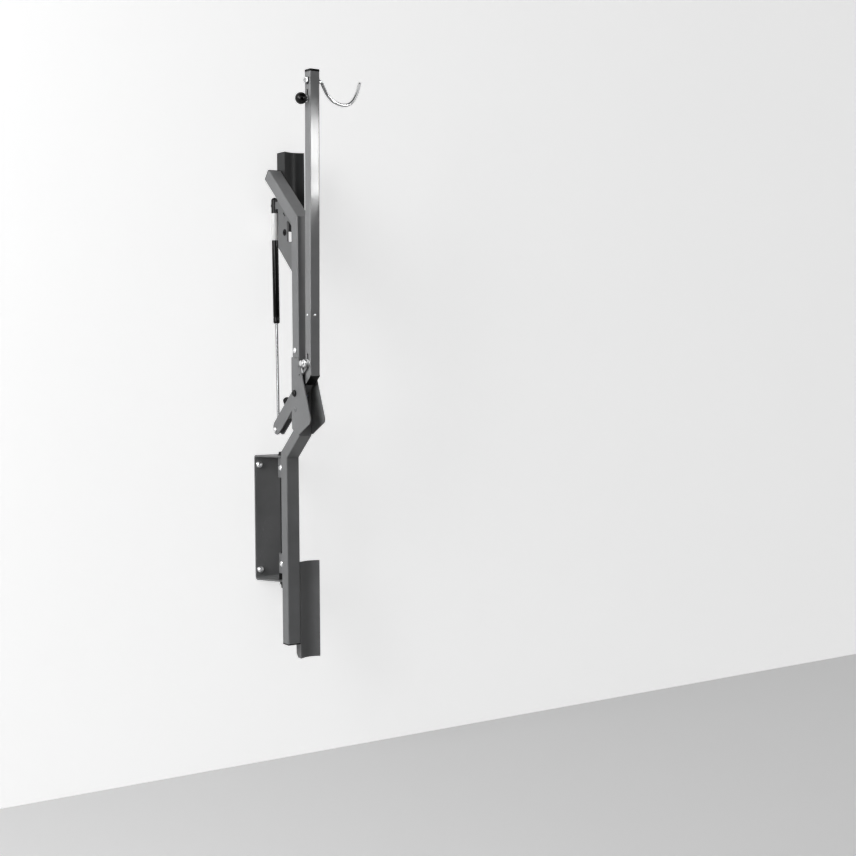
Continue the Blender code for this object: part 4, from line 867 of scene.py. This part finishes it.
# %% Beads on lugs, gusset and lever
MAST_BACK = 0.0002 - WALL_GAP
ARM_BACK = ARM_OFFSET - ARM_HALF
BEAD_INSET = 0.002
for node in ("swivel_lug_upper", "swivel_lug_lower"):
    low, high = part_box(node)
    start, end = (0.0, MAST_BACK, low.z + BEAD_INSET), (0.0, MAST_BACK, high.z - BEAD_INSET)
    weld(node + "_weld", both_sides(start, end, LUG_FACE), "mast", 0.0014)
lines = both_sides(on_mast(-0.0750, 1.0200), on_mast(-0.0750, 1.1700), 0.0028)
weld("spring_gusset_weld", lines, "mast", 0.0012)
lines = both_sides(on_cut(ARM_BACK, -0.0090), on_cut(ARM_BACK, 0.0275), 0.0101)
lines.append([on_cut(ARM_BACK, 0.0291, -0.0090), on_cut(ARM_BACK, 0.0291, 0.0090)])
weld("lever_weld", lines, "arm", 0.0014)
print("lever's beads:", len(lines))

# %% Mitre seams
TUBE_CORNERS = [(0.020, 0.0175), (-0.020, 0.0175), (-0.020, -0.0175), (0.020, -0.0175)]
TUBE_LINE = [(-0.0175, 0.0), (-0.0175, 0.5328), (-0.0925, 0.5975), (-0.0925, 1.1810),
             (0.0655, 1.3177)]
SEAM_STEP, SEAM_RADIUS, SEAM_RIPPLE = 0.0008, 0.0005, 0.12


def mitre_ring(before, at, after):
    """The tube's outline in the plane where two straight runs meet."""
    first = (at - before).normalized()
    second = (after - at).normalized()
    deep = Vector((first.z + second.z, -first.y - second.y)) / (1.0 + first.dot(second))
    ring = []
    for (x, t), (next_x, next_t) in zip(TUBE_CORNERS, TUBE_CORNERS[1:] + TUBE_CORNERS[:1]):
        for share in (0.09, 0.91):
            across, depth = x + (next_x - x) * share, t + (next_t - t) * share
            ring.append(Vector((across, at.y + deep.x * depth, at.z + deep.y * depth)))
    return ring


runs = [on_mast(*point) for point in TUBE_LINE]
for name, *bend in zip(("low", "middle", "top"), runs, runs[1:], runs[2:]):
    bm = bmesh.new()
    seam = resampled(mitre_ring(*bend), SEAM_STEP, True)
    bar(bm, seam, SEAM_RADIUS, SEAM_RIPPLE, 6, True)
    add_piece("mast_seam_" + name, bm, "grey_coat", "mast", crease=BEAD_CREASE)
print("mitre seams:", len(runs) - 2)

# %% [markdown]
# ## The arm's top cap and its foot plate
# The arm's head wears a moulded cap whose skirt reaches a little way down the tube. Its
# foot, cut along the lever, is closed by a thin black plate, which is painted shade on
# the cut end.

# %% Arm caps
CAP_HEIGHT = 0.867
FOOT_HALF = 0.0149
PLATE_EDGE = 0.0004


def squared(half, corner):
    """Reach of a square with this half width, its corners cut at another reach."""
    def reach(angle):
        across = max(abs(math.cos(angle)), abs(math.sin(angle)))
        return min(half / across, corner)
    return reach


def side_plate(outline, near, far):
    """A flat plate across X from an outline of points, with softened edges."""
    bm = bmesh.new()
    stitch(bm, [[bm.verts.new((x, point.y, point.z)) for point in outline] for x in (near, far)])
    round_off(bm, list(bm.edges), PLATE_EDGE)
    return bm


rings = [(-0.0118, CORE), (-0.0118, squared(0.0127, 0.0168)), (-0.0030, squared(0.0127, 0.0168)),
         (-0.0030, squared(0.0153, 0.0202)), (0.0024, squared(0.0153, 0.0202)),
         (0.0031, squared(0.0150, 0.0198)), (0.0035, squared(0.0140, 0.0186)), (0.0035, CORE)]
cap = turned(on_arm(ARM_OFFSET, CAP_HEIGHT), (0.0, *ARM_UP), rings, 96)
redo("arm_top_cap", cap, "black_plastic")
# The foot plate's black is painted shade on the arm's cut end.
FOOT = [(0.0440, -0.0092), (0.0736, -0.0092), (0.0736, -0.0112), (0.0440, -0.0112)]
plate = side_plate([on_cut(*corner) for corner in FOOT], -FOOT_HALF, FOOT_HALF)
add_piece("arm_foot_shade_plate", plate, "black_plastic", "arm")
print("arm foot shade plate width in mm:", round(2000 * FOOT_HALF, 1))

# %% [markdown]
# ## The catch's stop and pad
# A small bright plate on the catch, beside the near cheek's edge, and a rubber pad above
# it take the knock of the latch pin.

# %% Catch stop and pad
STOP = [(-0.1318, 0.7745), (-0.1330, 0.7757), (-0.1350, 0.7757), (-0.1362, 0.7745),
        (-0.1386, 0.7645), (-0.1380, 0.7630), (-0.1360, 0.7625), (-0.1345, 0.7638)]
PAD = [(-0.1335, 0.7725), (-0.1400, 0.7725), (-0.1410, 0.7780), (-0.1345, 0.7780)]
stop = side_plate([on_mast(*corner) for corner in STOP], -0.0238, -0.0205)
add_piece("catch_stop", stop, "zinc", "mast")
pad = side_plate([on_mast(*corner) for corner in PAD], -0.0222, -0.0199)
add_piece("catch_pad", pad, "rubber", "mast")
print("catch stop and pad have", len(STOP), "and", len(PAD), "corners")

# %% [markdown]
# ## Rivets on the arm
# Two small rivets, one on the side and one on the front, hold the guide of the pull rod
# inside the arm.

# %% Arm rivets
RIVET_HEIGHT = 0.2144
rivet = [(-0.0010, 0.0010), (0.0, 0.0028), (0.0003, 0.0030), (0.0008, 0.0025), (0.0012, 0.0015),
         (0.0011, 0.0010), (0.0004, 0.0008), (0.0003, 0.0002)]
RIVETS = {
    "arm_rivet_side": (on_arm(0.0570, RIVET_HEIGHT, -ARM_HALF), -ACROSS),
    "arm_rivet_front": (on_arm(ARM_OFFSET + ARM_HALF, RIVET_HEIGHT), (0.0, *ARM_OUT)),
}
for name, (spot, axis) in RIVETS.items():
    add_piece(name, turned(spot, axis, rivet, 24), "zinc", "arm")
print("rivets:", len(RIVETS))

# %% [markdown]
# ## The bumper
# A rubber buffer on the lever stops it against the mast. Moulded buffers have a foot
# flange and shallow rings.

# %% Lever bumper
rings = [(0.0003, 0.0004), (0.0003, 0.0100), (0.0010, 0.0110), (0.0024, 0.0110), (0.0030, 0.0103),
         (0.0052, 0.0101), (0.0058, 0.0107), (0.0072, 0.0107), (0.0078, 0.0101), (0.0100, 0.0100),
         (0.0106, 0.0105), (0.0120, 0.0105), (0.0142, 0.0101), (0.0162, 0.0092), (0.0178, 0.0076),
         (0.0189, 0.0052), (0.0194, 0.0026), (0.0195, 0.0004)]
bumper = turned(on_lever(0.0835, 0.029), (0.0, *LEVER_NORMAL), rings, 56)
redo("lever_bumper", bumper, "rubber")
print("bumper height in mm:", round(1000 * rings[-1][0], 1))

# %% [markdown]
# ## The wheel hook
# A bent round bar, polished and plated, with a threaded end through the arm. It is a
# smooth curve through a few points, swept with many sides so that its highlights run
# clean. The curve passes through the same points as the CAD bar.

# %% Hook bar
HOOK_POINTS = [(0.0190, 0.0), (0.0256, -0.0014), (0.0302, -0.0048), (0.0340, -0.0122),
               (0.0388, -0.0212), (0.0466, -0.0338), (0.0583, -0.0448), (0.0707, -0.0519),
               (0.0845, -0.0560), (0.0989, -0.0570), (0.1140, -0.0530), (0.1253, -0.0441),
               (0.1340, -0.0320), (0.1421, -0.0142), (0.1480, 0.0050)]
HOOK_TIP = [(0.0016, 0.95), (0.0030, 0.80), (0.0041, 0.55), (0.0047, 0.25)]
HOOK_HEIGHT = 0.841
HOOK_RADIUS = 0.005
HOOK_SIDES = 32


def smooth_line(points, steps):
    """Catmull-Rom points through a line."""
    knots = [Vector(point) for point in points]
    knots = [knots[0] * 2.0 - knots[1]] + knots + [knots[-1] * 2.0 - knots[-2]]
    result = []
    for a, b, c, d in zip(knots, knots[1:], knots[2:], knots[3:]):
        for step in range(steps):
            t = step / steps
            result.append(0.5 * (2.0 * b + (c - a) * t + (2.0 * a - 5.0 * b + 4.0 * c - d) * t * t
                                 + (3.0 * b - a - 3.0 * c + d) * t ** 3))
    result.append(knots[-2])
    return result


hook_spot = on_arm(ARM_OFFSET, HOOK_HEIGHT)
path = [hook_spot + ACROSS * x for x in (-0.0165, -0.0100, 0.0, 0.0100)]
path += smooth_line([hook_spot + Vector((x, 0.0, z)) for x, z in HOOK_POINTS], 10)
sizes = [HOOK_RADIUS] * len(path)
tip, tip_along = path[-1], (path[-1] - path[-2]).normalized()
for reach, shrink in HOOK_TIP:
    path.append(tip + tip_along * reach)
    sizes.append(HOOK_RADIUS * shrink)
bm = bmesh.new()
rings = []
for index, point in enumerate(path):
    along = (path[min(index + 1, len(path) - 1)] - path[max(index - 1, 0)]).normalized()
    up = along.cross(TO_WALL).normalized()
    rings.append(ring_at(bm, point, TO_WALL, up, HOOK_SIDES, sizes[index]))
stitch(bm, rings)
thread = backward(thread_run(0.0166, 0.0250, HOOK_RADIUS, COARSE_PITCH)) + [(-0.0162, 0.0046)]
hook = redo("wheel_hook", turned(hook_spot, ACROSS, thread, bm=bm), "chrome")
print("hook reach in mm:", round(1000 * hook.dimensions.x))

# %% Hook nut and collar
WASHER_SEAT = 0.0153
NUT_SEAT = 0.0168
HOOK_BORE = 0.0053
nut = placed(nut_profile(0.0085, 0.0062, HOOK_BORE), NUT_SEAT)
redo("hook_nut", turned(hook_spot, -ACROSS, nut, closed=True), "zinc")
# The washer under the nut is black; its colour also paints the shade beside the nut on the arm.
rings = [(WASHER_SEAT, HOOK_BORE), (WASHER_SEAT, 0.0100), (0.0155, 0.0102), (0.0165, 0.0102),
         (0.0167, 0.0100), (0.0167, HOOK_BORE)]
add_piece("hook_washer_with_shade", turned(hook_spot, -ACROSS, rings, closed=True), "black_steel", "arm")
rings = [(WASHER_SEAT, HOOK_BORE), (WASHER_SEAT, 0.0094), (0.0157, 0.0100), (0.0181, 0.0100),
         (0.0187, 0.0095), (0.0189, 0.0088), (0.0189, HOOK_BORE)]
redo("hook_collar", turned(hook_spot, ACROSS, rings, closed=True), "black_steel")
print("hook's bore in mm:", 2000 * HOOK_BORE)

# %% [markdown]
# ## The release
# A ball knob on a stem lifts a flat rod inside the arm, which lifts the latch pin off its
# catch. A moulded ball has a flat where the stem enters and a fine parting line.

# %% Knob, stem and latch pin
KNOB_HEIGHT = 0.7916
PIN_HEIGHT = 0.084
BALL_CENTER = -0.034
BALL_RADIUS = 0.016
BALL_STEPS = 28
PARTING_STEP = 12
PARTING_RIDGE = 0.00012
knob_spot = on_arm(ARM_OFFSET, KNOB_HEIGHT)
rings = [(-0.0195, CORE), (-0.0195, 0.0050), (-0.0197, 0.0056)]
for index in range(BALL_STEPS + 1):
    angle = math.radians(26.5 + 149.5 * index / BALL_STEPS)
    rim = BALL_RADIUS * math.sin(angle) + (PARTING_RIDGE if index == PARTING_STEP else 0.0)
    rings.append((BALL_CENTER + BALL_RADIUS * math.cos(angle), rim))
redo("release_knob", turned(knob_spot, ACROSS, rings, 64), "knob_gloss")
held_end = [(-0.0108, CORE), (-0.0108, 0.0027), (-0.0153, 0.0027)]
rings = held_end + [(-0.0153, 0.0080), (-0.0156, 0.0084), (-0.0172, 0.0084), (-0.0178, 0.0078),
                    (-0.0181, 0.0068), (-0.0182, 0.0045), (-0.0192, 0.0045), (-0.0192, CORE)]
redo("knob_stem", turned(knob_spot, ACROSS, rings), "zinc")
rings = held_end + [(-0.0153, 0.0103), (-0.0155, 0.0105), (-0.0168, 0.0105), (-0.0170, 0.0103),
                    (-0.0171, 0.0042), (-0.0173, 0.0040), (-0.0238, 0.0040), (-0.0239, 0.0092),
                    (-0.0244, 0.0103), (-0.0262, 0.0103), (-0.0282, 0.0095), (-0.0295, 0.0078),
                    (-0.0301, 0.0050), (-0.0303, 0.0040), (-0.0335, 0.0040), (-0.0336, 0.0070),
                    (-0.0338, 0.0076), (-0.0368, 0.0076), (-0.0378, 0.0070), (-0.0382, 0.0058),
                    (-0.0382, CORE)]
redo("latch_pin", turned(on_arm(ARM_OFFSET, PIN_HEIGHT), ACROSS, rings), "zinc")
print("knob across in mm:", 2000 * BALL_RADIUS)

# %% [markdown]
# ## The gas spring
# A drawn steel cylinder, painted gloss black, with a rolled groove that holds the gland,
# a plain white film round its upper end, and a hard chrome rod. Its round-topped head is
# slotted to take the gusset, so it is built in two halves with a dome and a neck. A slim
# lock nut holds the rod's end fitting. Distances run down from the top pin.

# %% Cylinder, gland and sleeve
top_pin = Vector((0.0, *middle("spring_top_pin").yz))
tail_pin = Vector((0.0, *middle("tail_bolt").yz))
down = (tail_pin - top_pin).normalized()
spring_length = (tail_pin - top_pin).length
rings = [(0.0365, CORE), (0.0365, 0.0070), (0.0367, 0.0078), (0.0374, 0.0086), (0.0384, 0.0091),
         (0.0394, 0.00925), (0.3120, 0.00925), (0.3128, 0.0089), (0.3136, 0.0087), (0.3144, 0.0089),
         (0.3152, 0.00925), (0.3278, 0.00925), (0.3286, 0.0090), (0.3290, 0.0086),
         (0.3290, 0.00775), (0.0410, 0.00775), (0.0410, CORE)]
redo("spring_cylinder", turned(top_pin, down, rings), "black_gloss")
rings = [(0.3190, 0.00745), (0.3293, 0.00745), (0.3293, 0.0084), (0.3300, 0.0082), (0.3310, 0.0068),
         (0.3310, 0.0052), (0.3304, 0.0046), (0.3300, 0.0043), (0.3190, 0.0043)]
redo("spring_gland", turned(top_pin, down, rings, closed=True), "black_plastic")
rings = [(0.0214, 0.00955), (0.0214, 0.00995), (0.0216, 0.01005), (0.0968, 0.01005),
         (0.0970, 0.00995), (0.0970, 0.00955)]
redo("spring_sleeve", turned(top_pin, down, rings, 64, True), "white_sleeve")
print("gas spring length in mm:", round(1000 * spring_length, 1))

# %% Slotted head
SLOT_HALF = 0.0036
HEAD_RADIUS = 0.0090
HEAD_CENTER = -0.0143


def head_reach(distance):
    """Radius of the round-topped head at a distance from the top pin."""
    rise = min(distance - HEAD_CENTER, 0.0)
    return math.sqrt(max(HEAD_RADIUS ** 2 - rise ** 2, CORE ** 2))


def head_half(bm, side, distances):
    """The part of the head on one side of the slot that takes the gusset."""
    across = down.cross(ACROSS)
    rings = []
    for distance in distances:
        reach = head_reach(distance)
        limit = math.acos(SLOT_HALF / reach)
        ring = []
        for step in range(25):
            angle = limit * (step / 12.0 - 1.0)
            spot = top_pin + down * distance + across * (reach * math.sin(angle))
            ring.append(bm.verts.new(spot + ACROSS * (side * reach * math.cos(angle))))
        rings.append(ring)
    stitch(bm, rings)


dome = [HEAD_CENTER - HEAD_RADIUS * math.cos(math.radians(6.0 * step)) for step in range(11)]
bm = turned(top_pin, down, [(distance, head_reach(distance)) for distance in dome], 64)
for side in (-1.0, 1.0):
    head_half(bm, side, [dome[-1] - 0.0002, -0.0165, -0.0150, HEAD_CENTER, 0.0302])
turned(top_pin, down, [(0.0300, HEAD_RADIUS), (0.0364, HEAD_RADIUS)], 64, bm=bm)
redo("spring_shackle", bm, "black_gloss")
print("slot width in mm:", 2000 * SLOT_HALF)

# %% Rod, lock nut and piston
ROD_RADIUS = 0.0040
JAW_DROP = 0.024
LOCK_CORNER, LOCK_CROWN = hexed(0.0050, 0.0058), hexed(0.0050, 0.0049)
end = [(-0.0072, ROD_RADIUS), (-0.0068, 0.0030), (-0.0060, 0.0030), (-0.0060, LOCK_CROWN),
       (-0.0056, LOCK_CORNER), (-0.0013, LOCK_CORNER), (-0.0009, LOCK_CROWN), (-0.0009, 0.0032),
       (-0.0003, 0.0032), (-0.0003, CORE)]
rings = [(0.3000, CORE), (0.3000, 0.0030), (0.3010, ROD_RADIUS)]
rings += placed(end, spring_length - JAW_DROP)
redo("spring_rod", turned(top_pin, down, rings), "rod_chrome")
rings = [(0.3030, 0.00745), (0.3055, 0.00745), (0.3055, 0.0068), (0.3085, 0.0068),
         (0.3085, 0.00745), (0.3120, 0.00745), (0.3120, 0.0043), (0.3030, 0.0043)]
redo("spring_piston", turned(top_pin, down, rings, closed=True), "nylon")
print("rod across in mm:", 2000 * ROD_RADIUS)

# %% [markdown]
# ## Floor, wall and light
# The hoist hangs on a white wall above a pale floor. Both are one-sided: seen from
# behind they let the view through, so that the back of the bracket can be looked at.
# A large soft light stands to the left, and the world fills the shadows, less so from
# the front. Chrome on white needs something dark to show its form, so three black flags
# stand out of view, as in a studio, and only reflections see them. Three small lamps,
# which also show only in reflections, put the long gleam on the arm and the sparkle on
# the knob and screws.

# %% Floor and wall
FLOOR_HEIGHT = -0.71
REACH = 14.0
BACK = 0.0006
STAGE_LIFT = 0.75


def seen_directly(tree):
    """1 where the camera, a mirror or glass looks at the surface, and 0 for its light."""
    rays = place(tree, "LightPath").outputs
    seen = math_node(tree, "MAXIMUM", rays["Is Camera Ray"], rays["Is Glossy Ray"])
    return math_node(tree, "MAXIMUM", seen, rays["Is Transmission Ray"])


def stage_material(name, color):
    """A pale matt surface, a little brighter to the eye, and open from behind."""
    tree, shader = new_material(name, roughness=0.85)
    plaster = noise(tree, spot_in_object(tree), 1.7, 3.0)
    base = mix_color(tree, plaster, shade(color, 0.985), color)
    tree.links.new(base, shader.inputs["Base Color"])
    tree.links.new(base, shader.inputs["Emission Color"])
    lift = math_node(tree, "MULTIPLY", seen_directly(tree), STAGE_LIFT)
    tree.links.new(lift, shader.inputs["Emission Strength"])
    clear = place(tree, "BsdfTransparent")
    behind = place(tree, "NewGeometry").outputs["Backfacing"]
    mixed = place(tree, "MixShader", {0: behind, 1: shader.outputs[0], 2: clear.outputs[0]})
    tree.links.new(mixed.outputs[0], tree.nodes["Material Output"].inputs["Surface"])
    return materials[name]


def stage_sheet(name, low, high, material):
    """A flat rectangle between two opposite corners."""
    corners = [low, (high[0], *low[1:]), high, (low[0], *high[1:])]
    mesh = bpy.data.meshes.new(name)
    mesh.from_pydata(corners, [], [(0, 1, 2, 3)])
    mesh.materials.append(material)
    sheet = in_scene(name, mesh)
    sheet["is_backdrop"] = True
    return sheet


stage_sheet("floor", (-REACH, -REACH, FLOOR_HEIGHT), (REACH, BACK, FLOOR_HEIGHT),
            stage_material("pale_floor", (0.45, 0.45, 0.45)))
stage_sheet("wall", (-REACH, BACK, FLOOR_HEIGHT), (REACH, BACK, REACH),
            stage_material("pale_wall", (0.82, 0.82, 0.82)))
print("floor in mm:", round(1000 * FLOOR_HEIGHT))

# %% Black flags
tree, shader = new_material("black_velvet", roughness=0.9, specular_ior_level=0.0)
weave = noise(tree, spot_in_object(tree), 40.0)
velvet = mix_color(tree, weave, (0.006, 0.006, 0.006), (0.012, 0.012, 0.012))
tree.links.new(velvet, shader.inputs["Base Color"])
FLAGS = {
    "front_flag": ((-2.6, -5.2, -0.7), (1.4, -5.2, 2.0)),
    "floor_flag": ((-2.2, -5.2, -0.7), (2.2, -2.2, -0.7)),
    "ceiling_flag": ((-1.6, -3.4, 3.2), (3.0, -0.6, 3.2)),
}
for name, (low, high) in FLAGS.items():
    flag = stage_sheet(name, low, high, materials["black_velvet"])
    flag.visible_camera = False
    flag.visible_diffuse = False
    flag.visible_shadow = False
print("flags:", len(FLAGS))

# %% Lights
def soft_light(name, spot, aim, width, height, watts):
    lamp = bpy.data.lights.new(name, "AREA")
    lamp.shape = "RECTANGLE"
    lamp.size = width
    lamp.size_y = height
    lamp.energy = watts
    item = in_scene(name, lamp)
    item.location = spot
    item.rotation_euler = (Vector(aim) - Vector(spot)).to_track_quat("-Z", "Y").to_euler()
    return item


soft_light("left_softbox", (-3.3, -0.50, 1.9), (0.0, -0.12, 0.4), 2.4, 2.4, 125.0)
SPARKLES = {
    # name: place, aim, width, height, watts
    "arm_gleam": ((1.20, -2.42, 1.305), (0.0, -0.25, 0.93), 0.5, 0.21, 8.3),
    "arm_gleam_low": ((1.20, -2.42, 1.12), (0.0, -0.25, 0.85), 0.5, 0.08, 4.0),
    "front_window": ((-2.5, -2.0, 0.9), (0.0, -0.2, 0.6), 0.5, 1.8, 40.0),
}
for name, values in SPARKLES.items():
    soft_light(name, *values).visible_diffuse = False
print("lights:", 1 + len(SPARKLES))

# %% World
WHITE = (1.0, 1.0, 1.0, 1.0)
VIEW_STRENGTH = 0.88
FILL_STRENGTH = 0.32
FRONT_STRENGTH = 0.10
FRONTWARD = (0.35, -0.93, 0.05)
world = bpy.data.worlds.new("studio")
bpy.context.scene.world = world
world.use_nodes = True
tree = world.node_tree
fill = tree.nodes["Background"]
fill.inputs["Color"].default_value = WHITE
facing = vector_node(tree, "DOT_PRODUCT", place(tree, "TexCoord").outputs["Generated"], FRONTWARD)
strength = spread(tree, facing, 0.15, 0.80, FILL_STRENGTH, FRONT_STRENGTH)
tree.links.new(strength, fill.inputs["Strength"])
view = place(tree, "Background", {"Color": WHITE, "Strength": VIEW_STRENGTH})
mixed = place(tree, "MixShader", {0: seen_directly(tree), 1: fill.outputs[0], 2: view.outputs[0]})
tree.links.new(mixed.outputs[0], tree.nodes["World Output"].inputs["Surface"])
bpy.context.scene.view_settings.view_transform = "Standard"
print("fill from", FRONT_STRENGTH, "to", FILL_STRENGTH)

# %% Leftover CAD nodes and the object's bounds
leftover = [node for node, item in frame["nodes"].items() if not item.hide_render]
print("CAD nodes still shown:", leftover)
low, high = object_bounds()
